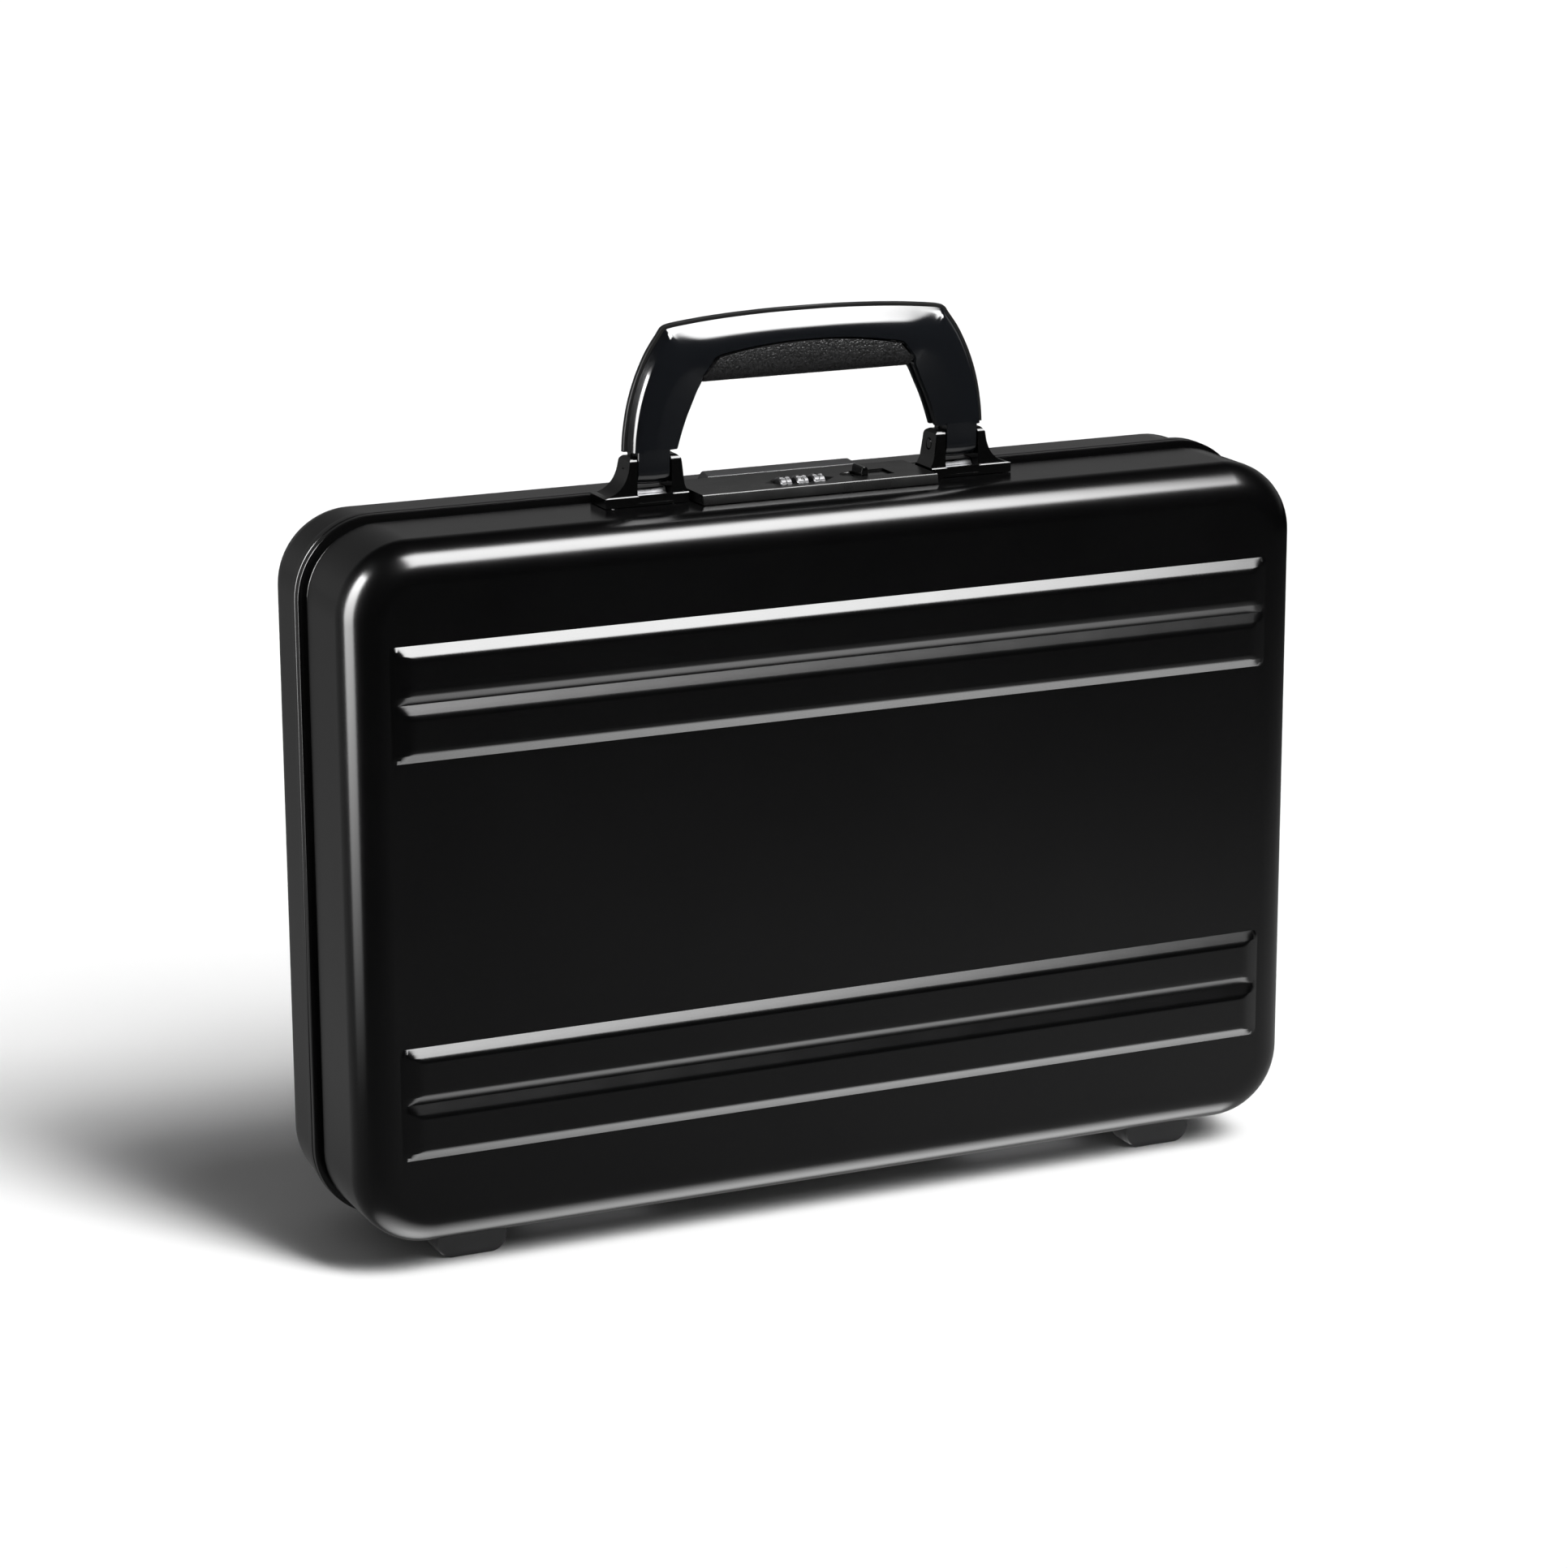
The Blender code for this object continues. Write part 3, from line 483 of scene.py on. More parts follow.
def make_case():
    dial_hole = solid(box_mesh((-0.0194, -0.0225, TOP - 0.003), (0.0102, -0.0075, TOP + 0.001)))
    stem_hole = solid(box_mesh((0.0234, -0.0174, TOP - 0.003), (0.0378, -0.0116, TOP + 0.001)))
    make_shell("front_shell", -1, FRONT_RIM_Y, "front_half", (dial_hole, stem_hole))
    make_shell("rear_shell", 1, REAR_RIM_Y, "lid")
    dial_room = solid(box_mesh((-0.0185, -0.0135, TOP - 0.0055), (0.0095, -0.0085, TOP)))
    make_ring("front_frame_extrusion", [
        (-4.5, -12.0), (-4.5, 7.6), (-4.2, 7.9), (2.0, 7.9), (2.25, 7.83), (2.40, 7.6), (2.40, 5.4),
        (2.33, 5.1), (2.15, 4.88), (1.9, 4.8), (-0.2, 4.70), (-1.8, 4.70), (-2.0, 4.5),
        (-2.0, -12.0)], "front_half", "frame_anodised", ["front_frame"], (dial_room,))
    make_ring("rear_frame_extrusion", [
        (-4.5, 8.8), (-4.2, 8.5), (2.0, 8.5), (2.3, 8.6), (2.48, 8.85), (2.5, 9.2), (2.5, 12.4),
        (2.4, 12.9), (2.1, 13.25), (1.7, 13.4), (1.2, 13.42), (-1.7, 13.42), (-2.0, 13.6), (-2.0, 27.0),
        (-4.5, 27.0)],
        "lid", "frame_anodised", ["rear_frame"])
    make_ring("frame_seal_profile", [
        (-6.8, -1.0), (-6.75, 6.0), (-6.5, 11.0), (-6.1, 12.0), (-5.5, 12.0), (-5.1, 11.0), (-4.85, 6.0),
        (-4.8, -1.0)], "front_half", "black_rubber", ["frame_seal"])


# ---- Feet, hinges, linings ----
def make_feet():
    for name, body in (("front_foot_left", "front_half"), ("front_foot_right", "front_half"),
                       ("rear_foot_left", "lid"), ("rear_foot_right", "lid")):
        low, high = (Vector(c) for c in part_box(name))
        middle = (low.x + high.x) / 2
        half = (high.x - low.x) / 2
        radius = 7.5 * MM
        points = arc((middle - half + radius, radius), radius, 180, 270, 10)
        points += arc((middle + half - radius, radius), radius, 270, 360, 10)
        points += [(middle + half - 0.4 * MM, high.z), (middle - half + 0.4 * MM, high.z)]
        finish_piece(name + "_moulded", prism_mesh(points, low.y, high.y), body, "grey_foot", [name],
                     bevel=1.0 * MM, bevel_steps=3)


def from_parting(side, near, far):
    """Two distances from the parting plane, in millimetres, as an ordered pair of positions."""
    return sorted((PARTING_Y + side * near * MM, PARTING_Y + side * far * MM))


def make_hinges():
    for label, x in (("left", -HINGE_X), ("right", HINGE_X)):
        for part, side, body, spans in (("front", -1, "front_half", ((-30, -10.5), (10.5, 30))),
                                        ("rear", 1, "lid", ((-10, 10),))):
            bm = bmesh.new()
            top, low = BOTTOM - 3.0 * MM, BOTTOM - 4.5 * MM
            near, far = from_parting(side, 2.2, 24.0)
            add_box(bm, (x - HINGE_HALF, near, low), (x + HINGE_HALF, far, top))
            near, far = from_parting(side, 8.5, 23.5)
            add_box(bm, (x - 0.029, near, top - 0.0005), (x + 0.029, far, BOTTOM - 0.0003))
            for start, end in spans:
                near, far = from_parting(side, 0.3, 4.0)
                add_box(bm, (x + start * MM, near, low + 0.0001), (x + end * MM, far, top - 0.0001))
                add_rod(bm, x + start * MM, x + end * MM, PARTING_Y, HINGE_Z, 2.5 * MM)
            for rivet in (-0.022, 0.0, 0.022):
                y = PARTING_Y + side * 16 * MM
                add_rod(bm, low - 0.0005, low + 0.0005, x + rivet, y, 2.4 * MM, 20, "Z")
            finish_piece(f"hinge_{part}_{label}_pressed", bm, body, "steel", [f"hinge_{part}_leaf_{label}"],
                         bevel=0.25 * MM)
        pin = rod_mesh(x - HINGE_HALF, x + HINGE_HALF, PARTING_Y, HINGE_Z, 1.1 * MM)
        finish_piece(f"hinge_pin_{label}_turned", pin, "front_half", "steel", [f"hinge_pin_{label}"],
                     bevel=0.2 * MM)


def make_lining(name, side, open_y, body):
    inset, thick, steps = 2.0 * MM, 1.0 * MM, 8
    rows = []
    radius = EDGE_R - inset - thick
    panel = side * (PANEL_Y - inset - thick)
    for i in range(steps + 1):
        angle = math.radians(90 - 90 * i / steps)
        rows.append((-inset - thick - radius + radius * math.cos(angle),
                     panel - side * radius + side * radius * math.sin(angle)))
    rows += [(-inset - thick, open_y), (-inset, open_y)]
    radius = EDGE_R - inset
    panel = side * (PANEL_Y - inset)
    for i in range(steps + 1):
        angle = math.radians(90 * i / steps)
        rows.append((-inset - radius + radius * math.cos(angle),
                     panel - side * radius + side * radius * math.sin(angle)))
    bm = bmesh.new()
    add_loft(bm, [[(x, y, z) for x, z in case_outline(out)] for out, y in rows])
    finish_piece(name + "_cloth", bm, body, "charcoal_lining", [name], sharp=50.0)


def make_organiser():
    half, low, high = 0.2240, BOTTOM + 0.0045, BOTTOM + 0.215
    points = arc((half - 0.010, high - 0.010), 0.010, 0, 90, 8)
    points += arc((-half + 0.010, high - 0.010), 0.010, 90, 180, 8)
    points += arc((-half + 0.030, low + 0.030), 0.030, 180, 270, 10)
    points += arc((half - 0.030, low + 0.030), 0.030, 270, 360, 10)
    finish_piece("organiser_board", prism_mesh(points, 0.0380, 0.0400), "lid", "charcoal_lining",
                 ["organiser_panel"], bevel=0.6 * MM, bevel_steps=3)


# ---- Lock ----
def make_lock_plate():
    section = [(-29.0, 0.3), (4.2, 0.3), (4.2, 2.9), (7.8, 2.9), (7.8, 4.1), (7.3, 4.6), (-27.6, 4.6),
               (-28.0, 4.2), (-28.9, 1.0)]
    points = [(y * MM, TOP + z * MM) for y, z in section]
    bm = prism_mesh(points, -0.0565, 0.0565, "YZ")
    cutters = []
    for x in DIAL_X:
        cutters.append(solid(box_mesh((x - 3.1 * MM, DIAL_Y - 6.4 * MM, TOP - 0.001),
                                      (x + 3.1 * MM, DIAL_Y + 6.4 * MM, TOP + 0.006))))
    hollow = bmesh.new()
    middle = sum(DIAL_X) / 3
    outline = [(-16.8, 0), (-12.4, -4.4), (12.4, -4.4), (16.8, 0), (12.4, 4.4), (-12.4, 4.4)]
    floor = [(-13.6, 0), (-11.2, -2.0), (11.2, -2.0), (13.6, 0), (11.2, 2.0), (-11.2, 2.0)]
    add_loft(hollow, [[(middle + x * MM, DIAL_Y + y * MM, TOP + z * MM) for x, y in ring]
                      for ring, z in ((floor, 3.3), (outline, 4.7))])
    cutters.append(solid(hollow))
    cutters.append(solid(box_mesh((-0.0195, DIAL_Y - 1.8 * MM, TOP - 0.001),
                                  (0.0103, DIAL_Y + 1.8 * MM, TOP + 0.0030))))
    cutters.append(solid(box_mesh((0.0230, -0.0189, TOP + 0.0026), (0.0400, -0.0061, TOP + 0.006))))
    cutters.append(solid(box_mesh((0.0390, -0.0189, TOP + 0.0026), (0.0495, -0.0061, TOP + 0.0040))))
    cutters.append(solid(box_mesh((0.0238, -0.0172, TOP - 0.001), (0.0376, -0.0118, TOP + 0.003))))
    scoop = bmesh.new()
    bmesh.ops.create_uvsphere(scoop, u_segments=40, v_segments=24, radius=1.0)
    for vert in scoop.verts:
        vert.co = (0.0222 + vert.co.x * 0.0062, -0.0125 + vert.co.y * 0.0052,
                   TOP + 0.0046 + vert.co.z * 0.0013)
    cutters.append(solid(scoop))
    finish_piece("lock_plate_cast", bm, "front_half", "black_lacquer", ["lock_plate"], cutters=cutters,
                 bevel=0.30 * MM, bevel_steps=3, sharp=35.0)


def make_dials():
    ink = ink_material()
    facets = 10
    for number, x in enumerate(DIAL_X):
        bm = bmesh.new()
        half = 2.8 * MM
        profile = [(-half, 1.6 * MM), (-half, 4.9 * MM), (-half + 0.5 * MM, 5.75 * MM),
                   (half - 0.5 * MM, 5.75 * MM), (half, 4.9 * MM), (half, 1.6 * MM)]
        rows = []
        for i in range(facets * 4):
            angle = 2 * math.pi * i / (facets * 4)
            notch = 0.94 if i % 4 == 2 else 1.0
            row = []
            for offset, radius in profile:
                edge = abs(offset) < half - 0.1 * MM
                r = radius * (notch if edge else 1.0)
                row.append((x + offset, DIAL_Y + r * math.sin(angle), DIAL_Z + r * math.cos(angle)))
            rows.append(row)
        add_loft(bm, rows, ring=True)
        bmesh.ops.recalc_face_normals(bm, faces=bm.faces)
        for digit in range(10):
            add_numeral(bm, str((digit + 3 * number) % 10), x, 360.0 * digit / facets, 5.76 * MM)
        finish_piece(f"dial_{number + 1}_numbered", bm, f"dial_{('one', 'two', 'three')[number]}",
                     "silver_dial", [f"dial_{number + 1}"], sharp=25.0, extra_material=ink)
    finish_piece("dial_shaft_turned", rod_mesh(-0.0190, 0.0098, DIAL_Y, DIAL_Z, 1.5 * MM), "front_half",
                 "steel", ["dial_shaft"], bevel=0.2 * MM)


def add_numeral(bm, text, x, angle, radius):
    """A thin raised numeral on one facet of a dial."""
    curve = bpy.data.curves.new("numeral", "FONT")
    curve.body = text
    curve.size = 4.2 * MM
    curve.extrude = 0.05 * MM
    curve.align_x = "CENTER"
    curve.align_y = "CENTER"
    holder = bpy.data.objects.new("numeral", curve)
    bpy.context.scene.collection.objects.link(holder)
    bpy.context.view_layer.update()
    mesh = bpy.data.meshes.new_from_object(holder.evaluated_get(bpy.context.evaluated_depsgraph_get()))
    bpy.data.objects.remove(holder, do_unlink=True)
    before = len(bm.faces)
    place = (Matrix.Translation((x, DIAL_Y, DIAL_Z)) @ Matrix.Rotation(math.radians(angle), 4, "X")
             @ Matrix.Translation((0, 0, radius)))
    mesh.transform(place)
    bm.from_mesh(mesh)
    bm.faces.ensure_lookup_table()
    for face in bm.faces[before:]:
        face.material_index = 1
    bpy.data.meshes.remove(mesh)


def make_slider():
    bm = box_mesh((0.0236, -0.0185, TOP + 0.0029), (0.0396, -0.0065, TOP + 0.0037))
    add_box(bm, (0.0245, -0.0164, TOP - 0.0077), (0.0275, -0.0126, TOP + 0.0031))
    side = [(24.2, 3.5), (24.6, 7.6), (25.1, 8.2), (26.7, 8.2), (27.3, 7.7), (27.7, 3.5)]
    add_prism(bm, [(x * MM, TOP + z * MM) for x, z in side], -0.0175, -0.0070)
    finish_piece("slide_button_cast", bm, "slider", "black_lacquer", ["slide_button"], bevel=0.3 * MM,
                 bevel_steps=3, material="bracket_gloss")


def make_keeper():
    section = [(8.8, 2.9), (13.9, 2.9), (13.9, 0.3), (18.0, 0.3), (17.7, 4.9), (17.2, 5.55), (16.4, 5.8),
               (9.7, 4.95), (9.0, 4.75), (8.8, 4.3)]
    bm = prism_mesh([(y * MM, TOP + z * MM) for y, z in section], -0.041, 0.037, "YZ")
    for vert in bm.verts:
        rise = (vert.co.z - TOP) / (5.8 * MM)
        vert.co.x += math.copysign(3.6 * MM * rise, -vert.co.x)
    finish_piece("keeper_bar_cast", bm, "lid", "black_lacquer", ["keeper_bar"], bevel=0.3 * MM,
                 bevel_steps=3, material="keeper_satin")


# ---- Brackets and handle ----
def make_brackets():
    front_view = [(58.8, 0.3), (98.0, 0.3), (98.0, 4.4)]
    front_view += spline([(98.0, 4.4), (92.6, 6.2), (88.6, 10.0), (86.6, 14.8), (85.8, 19.5)], 4)[1:]
    front_view += [(84.6, 21.2), (82.3, 21.2), (82.3, 1.5), (66.2, 1.5), (66.2, 21.2), (63.2, 21.2),
                   (61.6, 19.8), (60.2, 8.0), (58.8, 4.8)]
    side_view = [(-18.0, 0.3), (-0.6, 0.3), (-0.6, 4.6), (-2.0, 5.0), (-3.0, 14.0)]
    side_view += arc((-7.4, 17.0), 4.2, 15, 90, 6)
    side_view += arc((-13.5, 18.2), 3.0, 90, 180, 7)
    side_view += [(-16.5, 5.0), (-17.7, 4.8), (-18.0, 4.4)]
    for label, side in (("left", -1), ("right", 1)):
        bm = prism_mesh([(side * x * MM, TOP + z * MM) for x, z in front_view], -0.0190, 0.0005)
        keep = solid(prism_mesh([(y * MM, TOP + z * MM) for y, z in side_view], -0.12, 0.12, "YZ"))
        block = solid(bm)
        modifier = block.modifiers.new("side", "BOOLEAN")
        modifier.operation = "INTERSECT"
        modifier.object = keep
        lip = solid(box_mesh(*[tuple(c) for c in zip(*[sorted(p) for p in (
            (side * 0.0655, side * 0.0830), (-0.0179, -0.0168), (TOP + 0.0006, TOP + 0.0047))])]))
        modifier = block.modifiers.new("lip", "BOOLEAN")
        modifier.operation = "UNION"
        modifier.object = lip
        apply_modifiers(block)
        shaped = bmesh.new()
        shaped.from_mesh(block.data)
        for helper in (keep, lip, block):
            bpy.data.objects.remove(helper, do_unlink=True)
        low, high = sorted((side * 0.0580, side * 0.0864))
        bore = solid(rod_mesh(low, high, HANDLE_Y, PIVOT_Z, 1.6 * MM))
        low, high = sorted((side * 0.0580, side * 0.0624))
        sink = solid(rod_mesh(low, high, HANDLE_Y, PIVOT_Z, 2.7 * MM))
        finish_piece(f"handle_bracket_{label}_cast", shaped, "front_half", "black_lacquer",
                     [f"handle_bracket_{label}"], cutters=(bore, sink), bevel=0.45 * MM, bevel_steps=3,
                     sharp=35.0, material="bracket_gloss")
        low, high = sorted((side * 0.0612, side * 0.0860))
        pin = rod_mesh(low, high, HANDLE_Y, PIVOT_Z, 1.5 * MM)
        low, high = sorted((side * 0.0609, side * 0.0620))
        add_rod(pin, low, high, HANDLE_Y, PIVOT_Z, 2.3 * MM)
        finish_piece(f"handle_pin_{label}_turned", pin, "front_half", "steel", [f"handle_pin_{label}"],
                     bevel=0.3 * MM, material="bracket_gloss")
        low, high = sorted((side * 0.0665, side * 0.0820))
        section = [(-12.4, 1.8), (-11.2, 4.0), (-10.9, 4.1), (-9.9, 6.0), (-9.3, 6.4), (-3.2, 6.4),
                   (-3.2, 1.8)]
        block = prism_mesh([(y * MM, TOP + z * MM) for y, z in section], low, high, "YZ")
        finish_piece(f"handle_stop_{label}_plated", block, "front_half", "steel", [f"handle_stop_{label}"],
                     bevel=0.25 * MM, material="stop_plated")


def handle_stations(rim):
    """Matched points of the handle's outer and inner contours, right half, from leg end to middle.

    Each is (outer x, outer z, inner x, inner z, ridge share, beam share), millimetres above the top.
    """
    keys = [(86.8, 23.3, 62.3, 23.3, 0.50, 0.0), (86.2, 31.5, 60.1, 30.4, 0.50, 0.0),
            (84.2, 43.0, 57.6, 37.2, 0.50, 0.0), (80.6, 54.5, 55.0, 43.0, 0.52, 0.0),
            (75.4, 65.5, 52.9, 48.0, 0.58, 0.1), (70.0, 73.4, 51.2, 51.6, 0.68, 0.3),
            (67.9, 76.2, 50.6, 54.8, 0.78, 0.6), (64.6, 77.5, 47.6, 58.8, 0.92, 0.9),
            (56.0, 78.6, 44.0, 62.7, 1.0, 1.0), (44.0, 79.7, 34.0, 64.7, 1.0, 1.0),
            (30.0, 80.5, 22.0, 66.2, 1.0, 1.0), (15.0, 81.0, 11.0, 67.0, 1.0, 1.0),
            (0.0, 81.1, 0.0, 67.2, 1.0, 1.0)]
    stations = spline(keys, 5)
    moved = []
    for i, (ox, oz, ix, iz, ridge, beam) in enumerate(stations):
        before, after = stations[max(i - 1, 0)], stations[min(i + 1, len(stations) - 1)]
        along = Vector((after[0] - before[0], after[1] - before[1])).normalized()
        if i == len(stations) - 1:
            along = Vector((-1.0, 0.0))
        beam = min(max(beam, 0), 1)
        moved.append((ox - rim * along.y, oz + rim * along.x, ix, iz, min(ridge, 1.0), beam))
    return moved


def eased(t, first, last):
    """A ramp of slope one that levels off between first and last."""
    if t <= first:
        return t
    over = min(t, last) - first
    return first + over - over * over / (2 * (last - first))


def cover_depth(t, ridge, beam):
    """How far the cover stands from the handle's middle plane, t from outer 0 to inner edge 1."""
    leg = 1.7 + 50.0 * eased(t, 0.05, 0.15)
    leg += 0.3 * min(t / ridge, 1.0)
    if t > ridge:
        leg -= 2.3 * (t - ridge) / max(1 - ridge, 0.05) * min(1.0, (1 - ridge) / 0.3)
    span = 1.7 + 9.9 * eased(t, 0.30, 0.98)
    return min(leg + (span - leg) * beam, 7.7)


def cover_shares(ridge):
    """Where across the cover its section has points, from its outer edge 0 to its inner edge 1."""
    shares = [0.0, 0.02, 0.05, 0.065, 0.08, 0.09, 0.10, 0.12, 0.15, 0.23, 0.32, 0.42]
    shares += [0.42 + (ridge - 0.42) * k for k in (0.15, 0.3, 0.45, 0.6, 0.8, 1.0)]
    if ridge < 0.96:
        shares += [ridge + (0.97 - ridge) * k for k in (0.25, 0.5, 0.75, 1.0)]
    else:
        shares += [0.97] * 4
    return [min(share, 0.97 + 0.001 * n) for n, share in enumerate(shares)]


def from_handle(mirror, side, row):
    """Points given in millimetres across, away from and above the handle's middle, in the scene."""
    return [(mirror * x * MM, HANDLE_Y + side * y * MM, TOP + z * MM) for x, y, z in row]


def join_halves(bm):
    """Weld the two halves of a mirrored loft in the middle and drop the faces between them."""
    middle = [f for f in bm.faces if all(abs(v.co.x) < 1e-6 for v in f.verts)]
    bmesh.ops.delete(bm, geom=middle, context="FACES_ONLY")
    seam = [v for v in bm.verts if abs(v.co.x) < 1e-6]
    bmesh.ops.remove_doubles(bm, verts=seam, dist=0.00002)


def make_cover(name, side, replaced):
    rows = []
    for ox, oz, ix, iz, ridge, beam in handle_stations(COVER_INSET):
        row = [(ox + (ix - ox) * t, cover_depth(t, ridge, beam), oz + (iz - oz) * t)
               for t in cover_shares(ridge)]
        row.append((ix, cover_depth(1.0, ridge, beam) - 0.7, iz))
        row.append((ix, COVER_INNER, iz))
        row.append((ox, COVER_INNER, oz))
        rows.append(row)
    bm = bmesh.new()
    for mirror in (1, -1):
        add_loft(bm, [from_handle(mirror, side, row) for row in rows])
    bmesh.ops.remove_doubles(bm, verts=bm.verts, dist=0.00002)
    join_halves(bm)
    for mirror in (1, -1):
        add_tongue(bm, mirror, side)
    return finish_piece(name, bm, "handle", "gloss_black", replaced, sharp=32.0)


def add_tongue(bm, mirror, side):
    """The cover's lower end between the bracket's ears, round about the pivot, with the leg's ridge."""
    sections = ((66.7, 0.9), (67.0, 0.4), (70.0, 0.18), (74.0, 0.0), (78.0, 0.25), (81.5, 0.5), (81.8, 0.9))
    rows = []
    for x, lower in sections:
        radius = TONGUE_R - lower
        row = [(COVER_INNER, TONGUE_TOP), (7.2 - lower, TONGUE_TOP), (6.9 - lower, 21.0), (radius, 17.0)]
        low_angle = math.degrees(math.acos(COVER_INNER / radius))
        for i in range(9):
            angle = math.radians(low_angle * i / 8)
            row.append((radius * math.cos(angle), PIVOT_RISE - radius * math.sin(angle)))
        rows.append(from_handle(mirror, side, [(x, y, z) for y, z in row]))
    add_loft(bm, rows)


def core_section(ox, oz, ix, iz):
    """The core's section: a rounded outer rim, square at its inner end."""
    outer, reach = Vector((ox, oz)), Vector((ix - ox, iz - oz)).normalized()
    rim = ((0.9, -1.5), (0.35, -1.35), (0.06, -1.0), (0.0, -0.5), (0.0, 0.5), (0.06, 1.0), (0.35, 1.35),
           (0.9, 1.5))
    row = [(outer.x + reach.x * inward, depth, outer.y + reach.y * inward) for inward, depth in rim]
    for depth in (1.5, -1.5):
        row.append((ix - reach.x * 1.2, depth, iz - reach.y * 1.2))
    return row


def make_core():
    bm = bmesh.new()
    for mirror in (1, -1):
        sections = [core_section(*station[:4]) for station in handle_stations(0.0)]
        add_loft(bm, [from_handle(mirror, 1, section) for section in sections])
    bmesh.ops.remove_doubles(bm, verts=[v for v in bm.verts if abs(v.co.x) < 1e-6], dist=0.00002)
    middle = [f for f in bm.faces if all(abs(v.co.x) < 1e-6 for v in f.verts)]
    bmesh.ops.delete(bm, geom=middle, context="FACES_ONLY")
    low = PIVOT_RISE - 5.9
    outline = [(67.0, TONGUE_TOP), (67.0, low), (81.5, low), (81.5, TONGUE_TOP)]
    for mirror in (1, -1):
        add_prism(bm, [(mirror * x * MM, TOP + z * MM) for x, z in outline], HANDLE_Y - 1.5 * MM,
                  HANDLE_Y + 1.5 * MM)
    finish_piece("handle_core_cast", bm, "handle", "satin_black", ["handle_core"], sharp=32.0)


def make_handle():
    make_cover("handle_front_cover_moulded", -1, ["handle_front_cover"])
    make_cover("handle_rear_cover_moulded", 1, ["handle_rear_cover"])
    make_core()
    make_grip()


def make_grip():
    bottom, shoulder, end_top, crown = 51.0, 54.3, 62.2, 66.7
    rows = []
    steps = 36
    for i in range(steps + 1):
        u = -1 + 2 * i / steps
        u = math.copysign(1 - (1 - abs(u)) ** 1.15, u)
        top = end_top + (crown - end_top) * (1 - abs(u) ** 2.1)
        half = []
        for k in range(15):
            v = k / 14
            v = 1 - math.cos(v * math.pi / 2)
            z = bottom + (top - bottom) * v
            if z < shoulder:
                reach = 48.8 + 1.6 * (z - bottom) / (shoulder - bottom)
            else:
                reach = 50.4 - 7.0 * min((z - shoulder) / (end_top - shoulder), 1.0)
            depth = 8.0 * (1 - (1 - min(v * 1.02, 1.0)) ** 2.0) ** (1 / 2.0)
            half.append((u * reach, depth, z))
        loop = [(x, -y, z) for x, y, z in half[1:]] + [(x, y, z) for x, y, z in reversed(half)]
        rows.append([(x * MM, HANDLE_Y + y * MM, TOP + z * MM) for x, y, z in loop])
    bm = bmesh.new()
    add_loft(bm, rows)
    finish_piece("handle_grip_textured", bm, "handle", "black_rubber", ["handle_grip"], sharp=40.0)


# ---- Studio ----
def add_area(name, location, target, size, power, spread=180.0):
    light = bpy.data.lights.new(name, "AREA")
    light.shape = "RECTANGLE"
    light.size, light.size_y = size
    light.energy = power
    light.spread = math.radians(spread)
    holder = bpy.data.objects.new(name, light)
    holder.location = location
    direction = Vector(target) - Vector(location)
    holder.rotation_euler = direction.to_track_quat("-Z", "Y").to_euler()
    bpy.context.scene.collection.objects.link(holder)
    return holder


def when_ray(tree, ray, otherwise, chosen):
    """A number that differs for one kind of ray."""
    path = tree.nodes.new("ShaderNodeLightPath")
    mix = tree.nodes.new("ShaderNodeMix")
    mix.data_type = "FLOAT"
    for socket, value in (("A", otherwise), ("B", chosen)):
        if isinstance(value, float):
            mix.inputs[socket].default_value = value
        else:
            tree.links.new(value, mix.inputs[socket])
    tree.links.new(path.outputs[ray], mix.inputs["Factor"])
    return mix.outputs["Result"]


def math_node(tree, operation, a, b=None):
    node = tree.nodes.new("ShaderNodeMath")
    node.operation = operation
    for socket, value in zip(node.inputs, (a, b)):
        if value is None:
            continue
        if isinstance(value, float):
            socket.default_value = value
        else:
            tree.links.new(value, socket)
    return node.outputs["Value"]


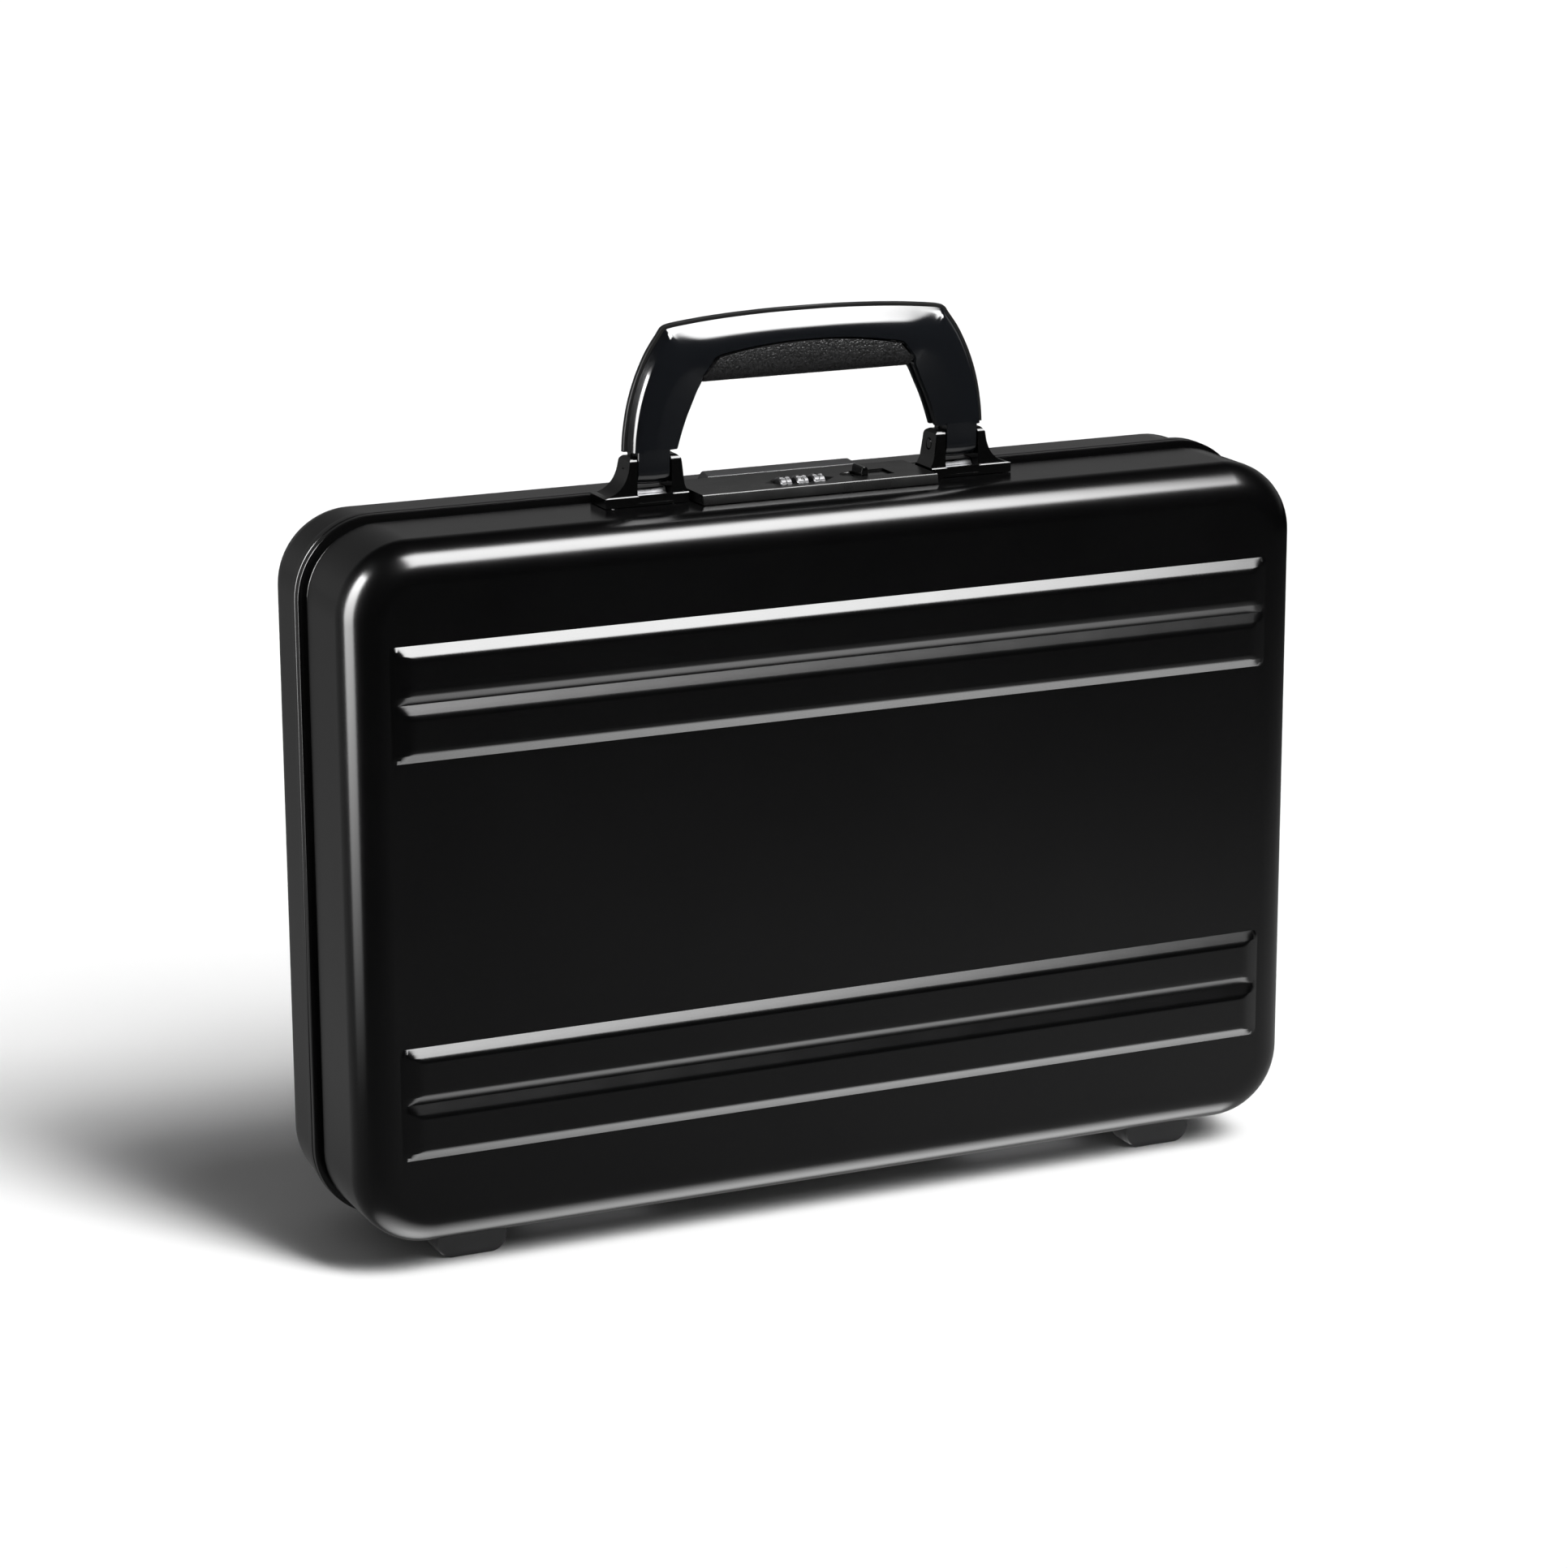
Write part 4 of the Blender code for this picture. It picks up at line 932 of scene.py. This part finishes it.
def make_floor():
    bm = bmesh.new()
    bmesh.ops.create_grid(bm, x_segments=1, y_segments=1, size=30.0)
    mesh = bpy.data.meshes.new("studio_floor")
    bm.to_mesh(mesh)
    bm.free()
    floor = bpy.data.objects.new("studio_floor", mesh)
    bpy.context.scene.collection.objects.link(floor)
    material, tree, shader = new_material("floor_white_painted_glow", (0.86, 0.86, 0.86), 0.8)
    shader.inputs["Specular IOR Level"].default_value = 0.0
    geometry = tree.nodes.new("ShaderNodeNewGeometry")
    length = tree.nodes.new("ShaderNodeVectorMath")
    length.operation = "LENGTH"
    offset = tree.nodes.new("ShaderNodeVectorMath")
    offset.operation = "SUBTRACT"
    offset.inputs[1].default_value = FLOOR_PAINTED_GLOW_CENTER
    tree.links.new(geometry.outputs["Position"], offset.inputs[0])
    tree.links.new(offset.outputs["Vector"], length.inputs[0])
    far = math_node(tree, "DIVIDE", length.outputs["Value"], FLOOR_PAINTED_GLOW_REACH)
    steep = math_node(tree, "MULTIPLY", math_node(tree, "POWER", far, 1.3), -1.0)
    fall = math_node(tree, "EXPONENT", steep)
    front = math_node(tree, "MULTIPLY", fall, FLOOR_PAINTED_GLOW)
    split = tree.nodes.new("ShaderNodeSeparateXYZ")
    tree.links.new(geometry.outputs["Position"], split.inputs["Vector"])
    beside = remap(tree, split.outputs["X"], FLOOR_PAINTED_GLOW_BEHIND, 0.0, -0.32, -0.20)
    painted_glow_behind = math_node(tree, "MULTIPLY", beside, remap(tree, split.outputs["Y"], 0.0, 1.0, -0.15, 0.15))
    painted_glow = math_node(tree, "ADD", front, painted_glow_behind)
    # Painted glow: glossy rays see the floor emitting light, a pool brightest near its centre plus a strip
    # behind and left of the case; other rays see the plain white floor
    emission = tree.nodes.new("ShaderNodeEmission")
    tree.links.new(painted_glow, emission.inputs["Strength"])
    mix = tree.nodes.new("ShaderNodeMixShader")
    path = tree.nodes.new("ShaderNodeLightPath")
    tree.links.new(path.outputs["Is Glossy Ray"], mix.inputs["Fac"])
    tree.links.new(shader.outputs["BSDF"], mix.inputs[1])
    tree.links.new(emission.outputs["Emission"], mix.inputs[2])
    tree.links.new(mix.outputs["Shader"], tree.nodes["Material Output"].inputs["Surface"])
    mesh.materials.append(material)


def make_world():
    """Soft even fill; in reflections a pale backdrop behind the case and a dark room elsewhere."""
    world = bpy.data.worlds.new("studio")
    bpy.context.scene.world = world
    world.use_nodes = True
    tree = world.node_tree
    coords = tree.nodes.new("ShaderNodeTexCoord")
    split = tree.nodes.new("ShaderNodeSeparateXYZ")
    tree.links.new(coords.outputs["Generated"], split.inputs["Vector"])
    height = remap(tree, split.outputs["Z"], 1.0, 0.0, 0.15, 0.62)
    behind = remap(tree, split.outputs["Y"], 0.0, 1.0, 0.0, 0.5)
    backdrop = math_node(tree, "MULTIPLY", math_node(tree, "MULTIPLY", height, behind), BACKDROP)
    glossy = math_node(tree, "ADD", backdrop, 0.003)
    strength = when_ray(tree, "Is Glossy Ray", FILL, glossy)
    strength = when_ray(tree, "Is Camera Ray", strength, 1.1)
    tree.links.new(strength, tree.nodes["Background"].inputs["Strength"])
    tree.nodes["Background"].inputs["Color"].default_value = (1, 1, 1, 1)


def make_sun():
    """Key light for the floor: a tall source at the front right, built from five suns above each other."""
    for step, share in ((-2, 0.35), (-1, 0.8), (0, 1.0), (1, 0.8), (2, 0.35)):
        light = bpy.data.lights.new("key_sun", "SUN")
        light.energy = SUN_POWER * share
        light.angle = math.radians(16)
        holder = bpy.data.objects.new("key_sun", light)
        azimuth, elevation = math.radians(SUN_AZIMUTH), math.radians(SUN_ELEVATION + 8 * step)
        toward = Vector((math.sin(azimuth) * math.cos(elevation), -math.cos(azimuth) * math.cos(elevation),
                         math.sin(elevation)))
        holder.rotation_euler = toward.to_track_quat("Z", "Y").to_euler()
        holder.visible_glossy = False
        bpy.context.scene.collection.objects.link(holder)


def fade_area(holder, left, right, low, high):
    """Let a softbox fade out towards its edges, each by a share of its size."""
    light = holder.data
    light.use_nodes = True
    tree = light.node_tree
    geometry = tree.nodes.new("ShaderNodeNewGeometry")
    split = tree.nodes.new("ShaderNodeSeparateXYZ")
    tree.links.new(geometry.outputs["Parametric"], split.inputs["Vector"])
    total = None
    for axis, start, end in (("X", left, right), ("Y", low, high)):
        for share, first, last in ((start, 0.0, start), (end, 1.0, 1.0 - end)):
            if not share:
                continue
            ramp = remap(tree, split.outputs[axis], 0.0, 1.0, first, last)
            ramp.node.interpolation_type = "SMOOTHSTEP"
            total = math_node(tree, "MULTIPLY", total, ramp) if total else ramp
    tree.links.new(total, tree.nodes["Emission"].inputs["Strength"])


def grow_upwards(holder, power):
    """Let a strip light brighten from nothing at its lower end to full at its upper end."""
    light = holder.data
    light.use_nodes = True
    tree = light.node_tree
    geometry = tree.nodes.new("ShaderNodeNewGeometry")
    split = tree.nodes.new("ShaderNodeSeparateXYZ")
    tree.links.new(geometry.outputs["Parametric"], split.inputs["Vector"])
    rise = math_node(tree, "POWER", split.outputs["Y"], power)
    tree.links.new(rise, tree.nodes["Emission"].inputs["Strength"])


def make_studio():
    make_floor()
    make_world()
    make_sun()
    key = add_area("key_softbox", (0.58, -0.70, 1.71), (0.58, 0.0, 0.0), (1.35, 1.30), 121.0)
    turn = Matrix.Rotation(math.radians(90 - KEY_ELEVATION), 3, "X") @ Matrix.Rotation(KEY_LEAN, 3, "Z")
    key.rotation_euler = turn.to_euler()
    fade_area(key, 0.08, 0.36, 0.2, 0.3)
    left = add_area("left_strip", (-0.45, -0.035, 0.28), (0.0, -0.035, 0.28), (0.13, 0.55), LEFT_POWER)
    grow_upwards(left, 1.5)
    low = add_area("low_card", (0.30, -0.165, 0.002), (0.30, -0.165, 1.0), (1.7, 0.28), 3.3, spread=72.0)
    fade_area(low, 0.0, 0.55, 0.0, 0.0)
    for light in (key, left, low):
        light.visible_diffuse = False


def make_camera():
    camera = bpy.data.cameras.new("camera")
    camera.sensor_width = 36.0
    camera.lens = 106.06
    camera.clip_start = 0.05
    holder = bpy.data.objects.new("camera", camera)
    bpy.context.scene.collection.objects.link(holder)
    azimuth, elevation, roll = math.radians(-24.318), math.radians(15.016), -0.0043
    back = Vector((math.sin(azimuth) * math.cos(elevation), -math.cos(azimuth) * math.cos(elevation),
                   math.sin(elevation)))
    right = Vector((math.cos(azimuth), math.sin(azimuth), 0.0))
    up = back.cross(right)
    turned_right = math.cos(roll) * right + math.sin(roll) * up
    turned_up = -math.sin(roll) * right + math.cos(roll) * up
    place = Matrix((turned_right, turned_up, back)).transposed().to_4x4()
    place.translation = Vector((-0.006, 0.0, 0.1883)) + 2.080 * back
    holder.matrix_world = place
    bpy.context.scene.camera = holder


def dress_cad_nodes():
    """Give the CAD nodes that stay in view their materials."""
    slots = {entry["node"]: entry["material_slot"] for entry in frame["record"]["subparts"]}
    for name, node in frame["nodes"].items():
        for slot in node.material_slots:
            slot.material = MATERIALS[slots[name]]


dress_cad_nodes()
make_camera()
make_studio()
make_case()
make_feet()
make_hinges()
make_lining("front_lining", -1, -0.0285, "front_half")
make_lining("rear_lining", 1, 0.0285, "lid")
make_organiser()
make_lock_plate()
make_dials()
make_slider()
make_keeper()
make_brackets()
make_handle()
bpy.context.scene.view_settings.view_transform = "Standard"
